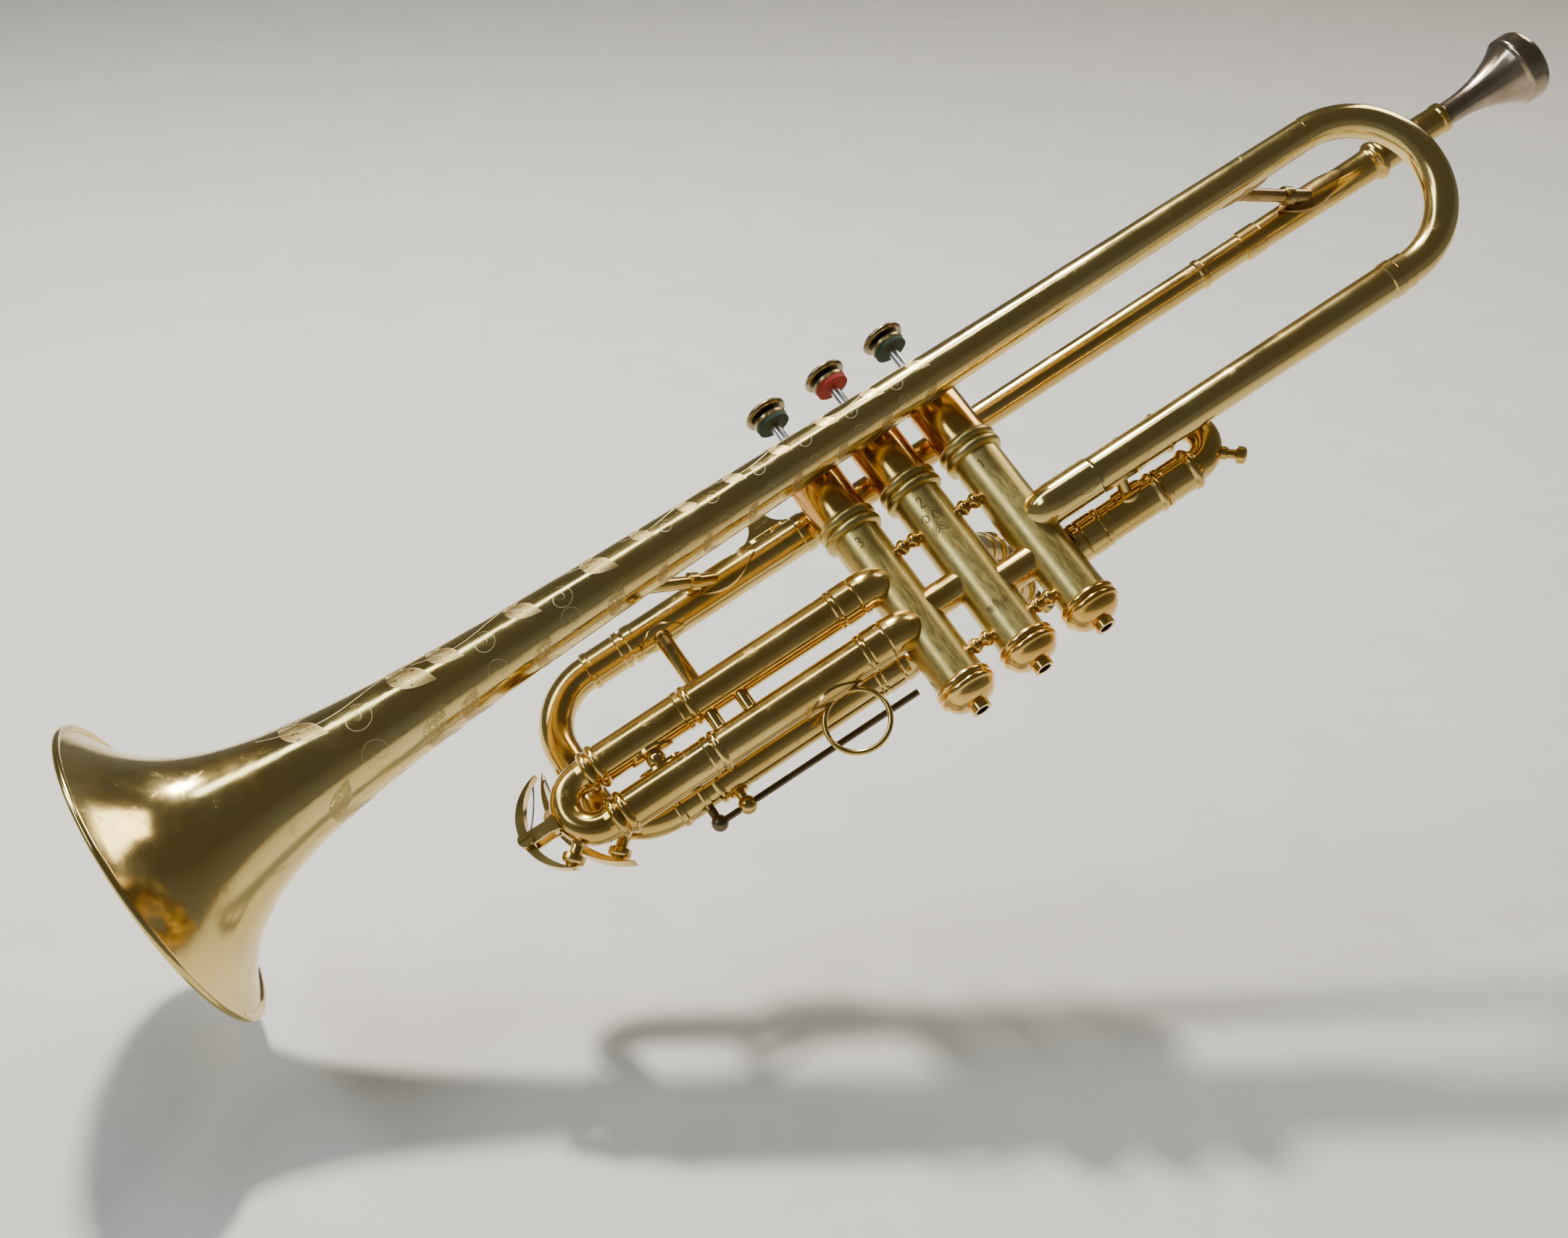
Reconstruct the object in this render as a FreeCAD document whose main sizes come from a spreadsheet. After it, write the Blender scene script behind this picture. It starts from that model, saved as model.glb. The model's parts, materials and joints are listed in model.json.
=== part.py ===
import FreeCAD, Part
import math
import os
import Sketcher

# A piston-valve B flat trumpet, in millimetres.
# Frame: +Z up along the valves, the bell mouth towards -X, the mouthpiece towards +X, and the
# player's left hand side, where the bell tube runs, towards -Y. The origin is on the middle
# valve's axis, at the foot of its bottom cap.

VALVE_NUMBERS = (1, 2, 3)

# ---------------------------------------------------------------- driving dimensions
SIZES = {
    # sheet metal and fits
    "wall": 0.6,
    "slide_gap": 0.05,
    # bell: axis, rim, and the flare law r = throat - taper*s + gain/(s + offset)^power
    "bell_y": -19.7,
    "bell_z": 105.8,
    "bell_rim_x": -284.6,
    "bell_radius": 59.0,
    "bell_throat": 8.061,
    "bell_taper": 0.0078,
    "flare_gain": 2441.4,
    "flare_offset": 25.83,
    "flare_power": 1.1987,
    "rim_bead": 1.4,
    "rim_wire": 0.9,
    # bow and tail
    "bow_x": 187.0,
    "bow_radius": 6.05,
    "tail_y": -7.0,
    "tail_z": 46.0,
    "tail_radius": 6.6,
    # valves
    "valve_pitch": 25.46,
    "casing_radius": 9.2,
    "casing_bore": 8.5,
    "casing_foot": 8.2,
    "collar_foot": 77.5,
    "collar_height": 8.0,
    "collar_radius": 10.7,
    "upper_radius": 10.0,
    "casing_top": 108.0,
    "cap_radius": 10.9,
    "cap_top": 114.6,
    "stem_hole": 2.5,
    "bottom_rim_radius": 10.4,
    "bottom_rim_top": 12.6,
    "nub_radius": 3.7,
    "vent_radius": 2.4,
    "cap_floor": 4.6,
    "cap_wall_top": 7.0,
    "piston_foot": 28.0,
    "piston_top": 100.0,
    "valve_travel": 16.0,
    "passage_turn": 40.0,
    "stem_radius": 2.0,
    "button_radius": 8.1,
    "button_top": 139.3,
    "disc_radius": 6.5,
    "felt_foot": 132.2,
    "felt_height": 1.7,
    "spring_radius": 6.2,
    "spring_wire": 0.4,
    "spring_turns": 4.75,
    # leadpipe, receiver and mouthpiece
    "lead_y": 17.45,
    "lead_z": 98.5,
    "lead_radius": 5.2,
    "lead_end": 172.0,
    "receiver_start": 157.0,
    "receiver_end": 250.0,
    "shank_end": 222.0,
    "shank_radius": 4.85,
    "mouthpiece_end": 290.6,
    "mouthpiece_radius": 13.5,
    # slide tubes
    "sleeve_radius": 6.95,
    "leg_radius": 6.25,
    "crook_radius": 5.7,
    "elbow_radius": 7.15,
    "elbow_ring": 7.3,
    "elbow_length": 11.0,
    # main tuning slide
    "main_lower_y": 8.0,
    "main_lower_z": 33.3,
    "main_sleeve_end": -113.0,
    "main_sleeve_length": 77.0,
    "main_overlap": 73.0,
    "main_collar_x": -113.9,
    "main_low_collar_x": -118.0,
    "main_bow_x": -130.0,
    "main_corner": 22.0,
    "rod_z": 20.7,
    "rod_radius": 1.2,
    "rod_end": -38.5,
    "guide_x": -108.5,
    "rod_ball": 3.4,
    # third valve slide
    "third_y": -7.0,
    "third_upper_z": 56.6,
    "third_lower_z": 37.2,
    "third_seam": -108.0,
    "third_overlap": 60.0,
    "third_collar": -142.0,
    "third_crook_x": -151.0,
    # first valve slide
    "first_y": 8.0,
    "first_upper_z": 51.2,
    "first_lower_z": 33.7,
    "first_seam": 72.0,
    "first_overlap": 28.0,
    "first_crook_x": 88.0,
    # second valve slide
    "second_turn": 30.0,
    "second_upper_z": 54.0,
    "second_lower_z": 37.0,
    "second_seam": 19.0,
    "second_overlap": 7.6,
    "second_crook": 28.0,
    # crossover tubes, braces and grips
    "crossover_radius": 6.0,
    "crossover_high": 41.5,
    "crossover_low": 34.6,
    "brace_slant": 46.0,
    "brace_collar": 0.69,
    "front_brace_x": -67.0,
    "rear_brace_x": 193.0,
    "first_brace_x": 61.0,
    "slide_brace_x": -101.0,
    "hook_x": -46.0,
    "hook_tip": -36.0,
    "ring_x": -62.6,
    "ring_radius": 11.2,
    "ring_wire": 0.95,
    # water keys: both share one pattern, measured from the middle of a crook's bend
    "key_angle": 220.0,
    "nipple_radius": 2.2,
    "nipple_height": 3.6,
    "cup_radius": 4.1,
    "cup_height": 3.6,
    "screw_radius": 1.5,
    "lever_width": 5.0,
    "lever_thickness": 1.6,
    "lever_belly": 1.9,
}

document = FreeCAD.newDocument("Trumpet")
sheet = document.addObject("Spreadsheet::Sheet", "Sizes")


class Size:
    """A number worked out from the sheet: its value now, and the expression that gives it."""

    def __init__(self, value, text):
        self.value = float(value)
        self.text = text

    def __add__(self, other):
        other = as_size(other)
        return Size(self.value + other.value, "(%s + %s)" % (self.text, other.text))

    def __sub__(self, other):
        other = as_size(other)
        return Size(self.value - other.value, "(%s - %s)" % (self.text, other.text))

    def __mul__(self, other):
        other = as_size(other)
        return Size(self.value * other.value, "(%s * %s)" % (self.text, other.text))

    def __truediv__(self, other):
        other = as_size(other)
        return Size(self.value / other.value, "(%s / %s)" % (self.text, other.text))

    def __neg__(self):
        return Size(-self.value, "(-1 * %s)" % self.text)

    def __radd__(self, other):
        return as_size(other) + self

    def __rsub__(self, other):
        return as_size(other) - self

    def __rmul__(self, other):
        return as_size(other) * self


def as_size(number):
    if isinstance(number, Size):
        return number
    return Size(number, repr(float(number)))


def root(number):
    return Size(math.sqrt(number.value), "sqrt(%s)" % number.text)


def sine(degrees):
    degrees = as_size(degrees)
    return Size(math.sin(math.radians(degrees.value)), "sin(%s)" % degrees.text)


def cosine(degrees):
    degrees = as_size(degrees)
    return Size(math.cos(math.radians(degrees.value)), "cos(%s)" % degrees.text)


def fill_sheet():
    for row, (name, value) in enumerate(SIZES.items(), start=1):
        sheet.set("A%d" % row, name)
        sheet.set("B%d" % row, str(value))
        sheet.setAlias("B%d" % row, name)
    document.recompute()


class Cells:
    """The sheet's cells by alias, each one as a Size."""

    def __getattr__(self, name):
        return Size(SIZES[name], "Sizes.%s" % name)


size = Cells()
fill_sheet()


# ---------------------------------------------------------------- placing and joining
def vector_text(vector):
    return "create(<<vector>>; %s; %s; %s)" % tuple(as_size(part).text for part in vector)


def rotation_text(direction):
    """The turn that takes +Z to a direction given as three numbers or sizes."""
    along = [as_size(part) for part in direction]
    flat = along[0].value == 0 and along[1].value == 0
    if flat and along[2].value > 0:
        return "create(<<rotation>>; create(<<vector>>; 0; 0; 1); 0)"
    if flat:
        return "create(<<rotation>>; create(<<vector>>; 1; 0; 0); 180)"
    length = root(along[0] * along[0] + along[1] * along[1] + along[2] * along[2])
    axis = vector_text((-along[1], along[0], 0))
    return "create(<<rotation>>; %s; acos(%s))" % (axis, (along[2] / length).text)


def place(piece, start, direction=(0, 0, 1), spin=0):
    """Put a piece's local origin at start and its local +Z along direction, after a spin about +Z."""
    spun = "create(<<rotation>>; create(<<vector>>; 0; 0; 1); %s)" % as_size(spin).text
    turn = "%s * %s" % (rotation_text(direction), spun)
    piece.setExpression("Placement", "create(<<placement>>; %s; %s)" % (vector_text(start), turn))
    return piece


def bind(piece, **properties):
    for name, number in properties.items():
        piece.setExpression(name, as_size(number).text)
    return piece


def rod(name, start, direction, length, radius):
    piece = document.addObject("Part::Cylinder", name)
    bind(piece, Radius=radius, Height=length)
    return place(piece, start, direction)


def ball(name, centre, radius):
    piece = document.addObject("Part::Sphere", name)
    bind(piece, Radius=radius)
    return place(piece, centre)


def cut(name, base, tools):
    for number, tool in enumerate(tools, start=1):
        piece = document.addObject("Part::Cut", "%s_cut%d" % (name, number))
        piece.Base = base
        piece.Tool = tool
        base = piece
    base.Label = name
    return base


def fuse(name, pieces):
    piece = document.addObject("Part::MultiFuse", name + "_fuse")
    piece.Shapes = pieces
    piece.Label = name
    return piece


def group(name, pieces):
    piece = document.addObject("Part::Compound", name + "_group")
    piece.Links = pieces
    piece.Label = name
    return piece


def plane_of(body, role):
    return [feature for feature in body.Origin.OriginFeatures if feature.Role == role][0]


def corner_of(point):
    return FreeCAD.Vector(as_size(point[0]).value, as_size(point[1]).value, 0)


def draw_side(sketch, start, finish, bulge):
    """One side of an outline: straight, or an arc that swells outward (positive) or is hollow."""
    if bulge is None:
        return sketch.addGeometry(Part.LineSegment(start, finish), False)
    chord = finish - start
    radius = abs(bulge.value)
    depth = math.sqrt(radius * radius - chord.Length * chord.Length / 4)
    left = FreeCAD.Vector(-chord.y, chord.x, 0).normalize()
    centre = (start + finish) * 0.5 + left * math.copysign(depth, bulge.value)
    first, last = (start, finish) if bulge.value > 0 else (finish, start)
    angles = [math.atan2(end.y - centre.y, end.x - centre.x) for end in (first, last)]
    circle = Part.Circle(centre, FreeCAD.Vector(0, 0, 1), radius)
    return sketch.addGeometry(Part.ArcOfCircle(circle, angles[0], angles[1]), False)


def join_sides(sketch, geometry, starts, outline):
    """Tie each corner of an outline to its place, and each arc to its radius, by the sheet."""
    for number, point in enumerate(outline):
        this_end = starts[number]
        last_end = 3 - starts[number - 1]
        sketch.addConstraint(
            Sketcher.Constraint("Coincident", geometry[number - 1], last_end, geometry[number], this_end)
        )
        for kind, coordinate in (("DistanceX", as_size(point[0])), ("DistanceY", as_size(point[1]))):
            rule = Sketcher.Constraint(kind, -1, 1, geometry[number], this_end, coordinate.value)
            index = sketch.addConstraint(rule)
            sketch.setExpression("Constraints[%d]" % index, coordinate.text)
        if len(point) > 2:
            radius = as_size(point[2])
            radius = radius if radius.value > 0 else -radius
            index = sketch.addConstraint(Sketcher.Constraint("Radius", geometry[number], radius.value))
            sketch.setExpression("Constraints[%d]" % index, radius.text)


def outline_sketch(body, name, plane, outline):
    """A closed outline of (across, up) corners, taken anticlockwise.

    A third number is the radius of the side that leaves the corner: positive swells, negative is hollow.
    """
    sketch = body.newObject("Sketcher::SketchObject", name)
    sketch.AttachmentSupport = [(plane_of(body, plane), "")]
    sketch.MapMode = "FlatFace"
    geometry = []
    starts = []
    for number, point in enumerate(outline):
        start = corner_of(point)
        finish = corner_of(outline[(number + 1) % len(outline)])
        bulge = as_size(point[2]) if len(point) > 2 else None
        index = draw_side(sketch, start, finish, bulge)
        drawn_forwards = bulge is None or bulge.value > 0
        geometry.append(index)
        starts.append(1 if drawn_forwards else 2)
    join_sides(sketch, geometry, starts, outline)
    return sketch


def turned(name, start, direction, outline, spin=0, angle=360):
    """A body turned about its own +Z from an outline of (radius, height) corners."""
    body = document.addObject("PartDesign::Body", name + "_body")
    sketch = outline_sketch(body, name + "_outline", "XZ_Plane", outline)
    feature = body.newObject("PartDesign::Revolution", name + "_turned")
    feature.Profile = sketch
    feature.ReferenceAxis = (sketch, ["V_Axis"])
    feature.Angle = angle
    body.Label = name
    return place(body, start, direction, spin)


def tube(name, start, direction, length, outer, inner):
    return turned(name, start, direction, [(inner, 0), (outer, 0), (outer, length), (inner, length)])


def plate(name, start, direction, outline, thickness, spin=0):
    """A flat plate: an outline of (x, y) corners, padded by its thickness along its own +Z."""
    body = document.addObject("PartDesign::Body", name + "_body")
    sketch = outline_sketch(body, name + "_outline", "XY_Plane", outline)
    feature = body.newObject("PartDesign::Pad", name + "_pad")
    feature.Profile = sketch
    bind(feature, Length=thickness)
    body.Label = name
    return place(body, start, direction, spin)


def bend(name, centre, axis, spin, ring, radius, inner, angle):
    """A hollow bent tube: a part of a ring about the axis, from the spun +X round by the angle."""
    outer = document.addObject("Part::Torus", name + "_outside")
    bind(outer, Radius1=ring, Radius2=radius)
    outer.Angle3 = angle
    hole = document.addObject("Part::Torus", name + "_inside")
    bind(hole, Radius1=ring, Radius2=inner)
    hole.Angle3 = angle
    place(outer, centre, axis, spin)
    place(hole, centre, axis, spin)
    return cut(name, outer, [hole])


# ---------------------------------------------------------------- places worked out from the sheet
ALONG = (1, 0, 0)
BACK = (-1, 0, 0)
FLAT = (0, -1, 0)          # the turn for anything drawn as seen from the bell side: across, then up

parts = {}


def keep(name, piece):
    piece.Label = name
    parts[name] = piece
    return piece


def valve_x(number):
    """Valve 1 is nearest the player, valve 3 nearest the bell mouth."""
    return size.valve_pitch * (2 - number)


def casing_plug(number, tag):
    """A valve casing's outside as a solid, to cut a tube's end by."""
    start = (valve_x(number), 0, 0)
    return rod("casing_plug_" + tag, start, (0, 0, 1), size.casing_top, size.casing_radius)


def x_rod(tag, place_yz, start, finish, radius):
    """A solid rod along X between two stations, at a place given as (y, z)."""
    return rod(tag, (start, place_yz[0], place_yz[1]), ALONG, finish - start, radius)


bell_axis = (size.bell_y, size.bell_z)
tail_axis = (size.tail_y, size.tail_z)
lead_axis = (size.lead_y, size.lead_z)
main_low_axis = (size.main_lower_y, size.main_lower_z)
third_up_axis = (size.third_y, size.third_upper_z)
third_low_axis = (size.third_y, size.third_lower_z)
first_up_axis = (size.first_y, size.first_upper_z)
first_low_axis = (size.first_y, size.first_lower_z)
elbow_start_3 = valve_x(3) - size.elbow_length
elbow_start_1 = valve_x(1) + size.elbow_length
sleeve_bore = size.leg_radius + size.slide_gap


def spread(low, high):
    """The step from one (y, z) place to another: as a vector, its length, and its plane's normal."""
    across = high[0] - low[0]
    up = high[1] - low[1]
    length = root(across * across + up * up)
    return (0, across, up), length, (0, -up, across)


def between(low, high, share):
    return (low[0] + (high[0] - low[0]) * share, low[1] + (high[1] - low[1]) * share)


# ---------------------------------------------------------------- bell, bow and tail
def bell_law(distance):
    """Outside radius of the bell at a distance behind its mouth."""
    spread_part = sheet.flare_gain / (distance + sheet.flare_offset) ** sheet.flare_power
    return sheet.bell_throat - sheet.bell_taper * distance + spread_part


def bell_edge(offset, length):
    """The bell's side outline, thickened by an offset, as a smooth curve from mouth to end."""
    stations = 14
    points = []
    for number in range(stations + 1):
        distance = length * (number / stations) ** 2
        points.append(FreeCAD.Vector(sheet.bell_rim_x + distance, bell_law(distance) + offset, 0))
    curve = Part.BSplineCurve()
    curve.interpolate(points)
    return curve.toShape(), points[0], points[-1]


def bell_turned(name, outer_offset, inner_offset):
    """The bell's wall between two offsets of the law, or the whole inside when inner is None."""
    length = sheet.bow_x - sheet.bell_rim_x
    outer, outer_start, outer_end = bell_edge(outer_offset, length)
    if inner_offset is None:
        inner_start = FreeCAD.Vector(outer_start.x, 0, 0)
        inner_end = FreeCAD.Vector(outer_end.x, 0, 0)
        inner = Part.LineSegment(inner_start, inner_end).toShape()
    else:
        inner, inner_start, inner_end = bell_edge(inner_offset, length)
    mouth = Part.LineSegment(inner_start, outer_start).toShape()
    end = Part.LineSegment(inner_end, outer_end).toShape()
    wire = Part.Wire(Part.__sortEdges__([outer, end, inner, mouth]))
    shape = Part.Face(wire).revolve(FreeCAD.Vector(0, 0, 0), FreeCAD.Vector(1, 0, 0), 360)
    if shape.Volume < 0:
        shape.reverse()
    piece = document.addObject("Part::Feature", name)
    piece.Shape = shape
    place(piece, (0, size.bell_y, size.bell_z))
    return piece


def build_bell():
    sheet_metal = bell_turned("bell_wall", 0, -sheet.wall)
    bead = document.addObject("Part::Torus", "bell_bead")
    bind(bead, Radius1=size.bell_radius - size.rim_bead, Radius2=size.rim_bead)
    place(bead, (size.bell_rim_x, size.bell_y, size.bell_z), ALONG)
    hollow = document.addObject("Part::Torus", "bell_bead_hollow")
    bind(hollow, Radius1=size.bell_radius - size.rim_bead, Radius2=size.rim_wire)
    place(hollow, (size.bell_rim_x, size.bell_y, size.bell_z), ALONG)
    joined = fuse("bell_joined", [sheet_metal, bead])
    keep("bell", cut("bell", joined, [hollow]))
    wire = document.addObject("Part::Torus", "rim_wire")
    bind(wire, Radius1=size.bell_radius - size.rim_bead, Radius2=size.rim_wire)
    place(wire, (size.bell_rim_x, size.bell_y, size.bell_z), ALONG)
    keep("bell_rim_wire", wire)


def build_bow():
    length, normal = spread(tail_axis, bell_axis)[1:]
    middle = between(tail_axis, bell_axis, 0.5)
    centre = (size.bow_x, middle[0], middle[1])
    inner = size.bow_radius - size.wall
    keep("bell_bow", bend("bell_bow", centre, normal, -90, length / 2, size.bow_radius, inner, 180))


def elbow(name, number, side, axis, blockers=()):
    """A quarter bend that brings a tube running along X round into a valve casing."""
    outward = -1 if axis[0].value < 0 else 1
    centre_x = valve_x(number) + size.elbow_length * side
    centre_y = axis[0] - size.elbow_ring * outward
    if side < 0:
        start_angle = 0 if outward > 0 else -90
    else:
        start_angle = 90 if outward > 0 else 180
    inner = size.elbow_radius - size.wall
    piece = bend(name, (centre_x, centre_y, axis[1]), (0, 0, 1), start_angle, size.elbow_ring,
                 size.elbow_radius, inner, 90)
    return cut(name + "_fitted", piece, [casing_plug(number, name)] + list(blockers))


def elbow_blocker(name, number, side, axis):
    """The outside of another elbow, as a solid to cut a neighbour by."""
    outward = -1 if axis[0].value < 0 else 1
    piece = document.addObject("Part::Torus", name)
    bind(piece, Radius1=size.elbow_ring, Radius2=size.elbow_radius)
    centre_x = valve_x(number) + size.elbow_length * side
    return place(piece, (centre_x, axis[0] - size.elbow_ring * outward, axis[1]))


def build_tail():
    length = size.bow_x - elbow_start_1
    inner = size.tail_radius - size.wall
    knuckle = size.elbow_radius
    outline = [
        (inner, 0),
        (knuckle, 0),
        (knuckle, 16),
        (size.tail_radius + 0.2, 16.6),
        (size.tail_radius, 17.5),
        (size.tail_radius, length - 9),
        (size.tail_radius + 0.4, length - 8.5),
        (size.tail_radius + 0.4, length - 5),
        (size.tail_radius, length - 4.5),
        (size.tail_radius, length),
        (inner, length),
    ]
    straight = turned("tail_tube", (elbow_start_1, size.tail_y, size.tail_z), ALONG, outline)
    corner = elbow("tail_elbow", 1, 1, tail_axis)
    keep("bell_tail", fuse("bell_tail", [straight, corner]))


# ---------------------------------------------------------------- leadpipe, receiver, mouthpiece
def build_leadpipe():
    start = size.main_sleeve_end + size.main_sleeve_length
    length = size.receiver_start - start
    inner = size.lead_radius - size.wall
    ring = length - 20
    outline = [
        (inner, 0),
        (size.lead_radius, 0),
        (size.lead_radius, ring),
        (size.lead_radius + 0.6, ring + 0.6),
        (size.lead_radius + 0.6, ring + 2.4),
        (size.lead_radius, ring + 3),
        (size.lead_radius, length),
        (inner, length),
    ]
    keep("leadpipe", turned("leadpipe", (start, size.lead_y, size.lead_z), ALONG, outline))


def build_receiver():
    length = size.receiver_end - size.receiver_start
    socket = length - (size.receiver_end - size.shank_end)
    step = size.lead_radius + 0.7
    outline = [
        (size.lead_radius - size.wall, 0),
        (step, 0),
        (step, 8),
        (step - 0.4, 8.6),
        (step + 0.2, length - 35),
        (step + 0.5, length - 34),
        (step + 0.9, length - 33.4, 2.5),
        (step + 0.9, length - 29.6),
        (step + 0.3, length - 29),
        (step - 0.3, length - 3),
        (step + 0.1, length - 2.4),
        (step + 0.1, length - 0.4),
        (step - 0.3, length),
        (size.shank_radius + size.slide_gap, length),
        (size.shank_radius - 0.65 + size.slide_gap, socket),
        (size.lead_radius - size.wall, socket),
    ]
    keep("receiver", turned("receiver", (size.receiver_start, size.lead_y, size.lead_z), ALONG, outline))


def build_mouthpiece():
    """Shank, backbore, cup and rim, turned about the leadpipe's line."""
    length = size.mouthpiece_end - size.shank_end
    socket = size.receiver_end - size.shank_end
    rim = size.mouthpiece_radius
    outline = [
        (2.9, 0),
        (size.shank_radius - 0.65, 0),
        (size.shank_radius, socket),
        (4.6, socket + 1.5),
        (4.6, socket + 3.5, -50.0),
        (12.1, socket + 30.2),
        (rim - 0.6, socket + 31.0, 2.0),
        (rim, socket + 32.6),
        (rim, length - 4.2, 4.2),
        (rim - 3.4, length, 2.2),
        (rim - 5.4, length - 1.4),
        (rim - 6.2, length - 6.5, -10.0),
        (1.83, length - 18),
        (1.83, length - 30),
    ]
    keep("mouthpiece", turned("mouthpiece", (size.shank_end, size.lead_y, size.lead_z), ALONG, outline))


# ---------------------------------------------------------------- valves
def build_casing(number):
    outline = [
        (size.casing_bore, size.casing_foot),
        (size.casing_radius, size.casing_foot),
        (size.casing_radius, size.collar_foot),
        (size.collar_radius, size.collar_foot + 0.6, 2.0),
        (size.collar_radius, size.collar_foot + 3.4),
        (size.casing_radius + 0.7, size.collar_foot + 4),
        (size.collar_radius, size.collar_foot + 4.6, 2.0),
        (size.collar_radius, size.collar_foot + 7.4),
        (size.upper_radius, size.collar_foot + size.collar_height),
        (size.upper_radius, size.casing_top),
        (size.casing_radius, size.casing_top),
        (size.casing_radius, size.cap_top - 2.6),
        (size.casing_bore, size.cap_top - 2.6),
    ]
    name = "casing_%d" % number
    keep(name, turned(name, (valve_x(number), 0, 0), (0, 0, 1), outline))


def build_top_cap(number):
    edge = size.cap_radius
    outline = [
        (size.casing_radius, size.casing_top),
        (edge - 0.4, size.casing_top),
        (edge, size.casing_top + 0.4),
        (edge, size.cap_top - 3),
        (edge - 0.6, size.cap_top - 2.4),
        (edge - 0.9, size.cap_top - 1.0, 1.0),
        (edge - 1.9, size.cap_top),
        (edge - 4.6, size.cap_top),
        (edge - 5.4, size.cap_top - 0.7),
        (size.stem_hole, size.cap_top - 0.7),
        (size.stem_hole, size.cap_top - 2.6),
        (size.casing_radius, size.cap_top - 2.6),
    ]
    name = "top_cap_%d" % number
    keep(name, turned(name, (valve_x(number), 0, 0), (0, 0, 1), outline))


def build_bottom_cap(number):
    edge = size.bottom_rim_radius
    top = size.bottom_rim_top
    cup = size.spring_radius + size.spring_wire + 0.4
    outline = [
        (size.vent_radius, 0),
        (size.nub_radius, 0),
        (size.nub_radius, 2.6),
        (size.nub_radius + 2.2, 3.2, 6.5),
        (edge - 1.0, 6.6),
        (edge - 0.6, 7.2),
        (edge, 7.7, 1.6),
        (edge, 9.5),
        (edge - 0.5, 9.9),
        (edge, 10.3, 1.6),
        (edge, 12.1),
        (edge - 0.5, top),
        (size.casing_radius, top),
        (size.casing_radius, size.casing_foot),
        (size.casing_bore, size.casing_foot),
        (size.casing_bore, size.cap_wall_top),
        (cup, size.cap_wall_top),
        (cup, size.cap_floor),
        (size.vent_radius, size.cap_floor),
    ]
    name = "bottom_cap_%d" % number
    keep(name, turned(name, (valve_x(number), 0, 0), (0, 0, 1), outline))


def port(name, number, height, rise, heading, radius):
    """A slanted passage right through a piston, centred on the valve's axis at a height."""
    reach = size.casing_radius
    heading = as_size(heading)
    lean = rise / 2
    direction = (cosine(heading) * reach, sine(heading) * reach, lean)
    length = root(reach * reach + lean * lean) * 2
    start = (valve_x(number) - direction[0], -direction[1], height - lean)
    return rod(name, start, direction, length, radius)


def build_piston(number):
    """A hollow piston with three soldered passages: one open at rest, two open when pressed."""
    running = size.casing_bore - size.slide_gap
    foot = size.piston_foot
    top = size.piston_top
    shell = [
        (running - size.wall, foot),
        (running, foot),
        (running, top),
        (0, top),
        (0, top - 2),
        (running - size.wall, top - 2),
    ]
    name = "piston_%d" % number
    x = valve_x(number)
    wall = turned(name + "_wall", (x, 0, 0), (0, 0, 1), shell)
    middle = (size.crossover_high + size.crossover_low) / 2
    rise = size.crossover_high - size.crossover_low
    travel = size.valve_travel
    turn = size.passage_turn
    pipe = size.crossover_radius - size.wall
    passages = [(middle, rise, 0), (middle + travel, rise, turn), (middle + travel * 2, rise, -turn)]
    pieces = [wall]
    for order, passage in enumerate(passages):
        trimmed = document.addObject("Part::Common", "%s_passage%d" % (name, order))
        trimmed.Base = port("%s_pipe%d" % (name, order), number, *passage, pipe)
        trimmed.Tool = rod("%s_limit%d" % (name, order), (x, 0, foot), (0, 0, 1), top - foot, running)
        pieces.append(trimmed)
    joined = fuse(name + "_joined", pieces)
    holes = [port(name + "_hole", number, *passage, pipe - size.wall) for passage in passages]
    keep(name, cut(name, joined, holes))


def build_button(number):
    """Valve stem, under disc and dished finger disc, one turned piece screwed into the piston."""
    top = size.button_top
    disc = size.disc_radius
    under = size.felt_foot + size.felt_height
    outline = [
        (0, size.piston_top),
        (5, size.piston_top),
        (5, size.piston_top + 2.5),
        (size.stem_radius, size.piston_top + 4),
        (size.stem_radius, under),
        (disc - 0.4, under),
        (disc, under + 0.4),
        (disc, under + 1.4),
        (disc - 0.4, under + 1.8),
        (3.4, under + 1.8),
        (3.4, top - 2.5),
        (size.button_radius - 0.8, top - 2.3, 1.6),
        (size.button_radius, top - 1.1, 1.2),
        (size.button_radius - 0.9, top),
        (size.button_radius - 1.6, top - 0.1, -16.0),
        (0, top - 1.2),
    ]
    name = "finger_button_%d" % number
    keep(name, turned(name, (valve_x(number), 0, 0), (0, 0, 1), outline))
    felt = "button_felt_%d" % number
    start = (valve_x(number), 0, size.felt_foot)
    keep(felt, tube(felt, start, (0, 0, 1), size.felt_height, disc - 0.3, size.stem_radius))


def build_valve_spring(number):
    name = "valve_spring_%d" % number
    reach = size.piston_foot - size.cap_floor - size.spring_wire * 2
    coil = document.addObject("Part::Helix", name + "_line")
    bind(coil, Radius=size.spring_radius, Height=reach, Pitch=reach / size.spring_turns)
    section = document.addObject("Part::Circle", name + "_section")
    bind(section, Radius=size.spring_wire)
    place(section, (size.spring_radius, 0, 0), (0, 1, 0))
    sweep = document.addObject("Part::Sweep", name + "_wire")
    sweep.Sections = [section]
    sweep.Spine = (coil, [])
    sweep.Solid = True
    sweep.Frenet = True
    place(sweep, (valve_x(number), 0, size.cap_floor + size.spring_wire))
    keep(name, sweep)


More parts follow.
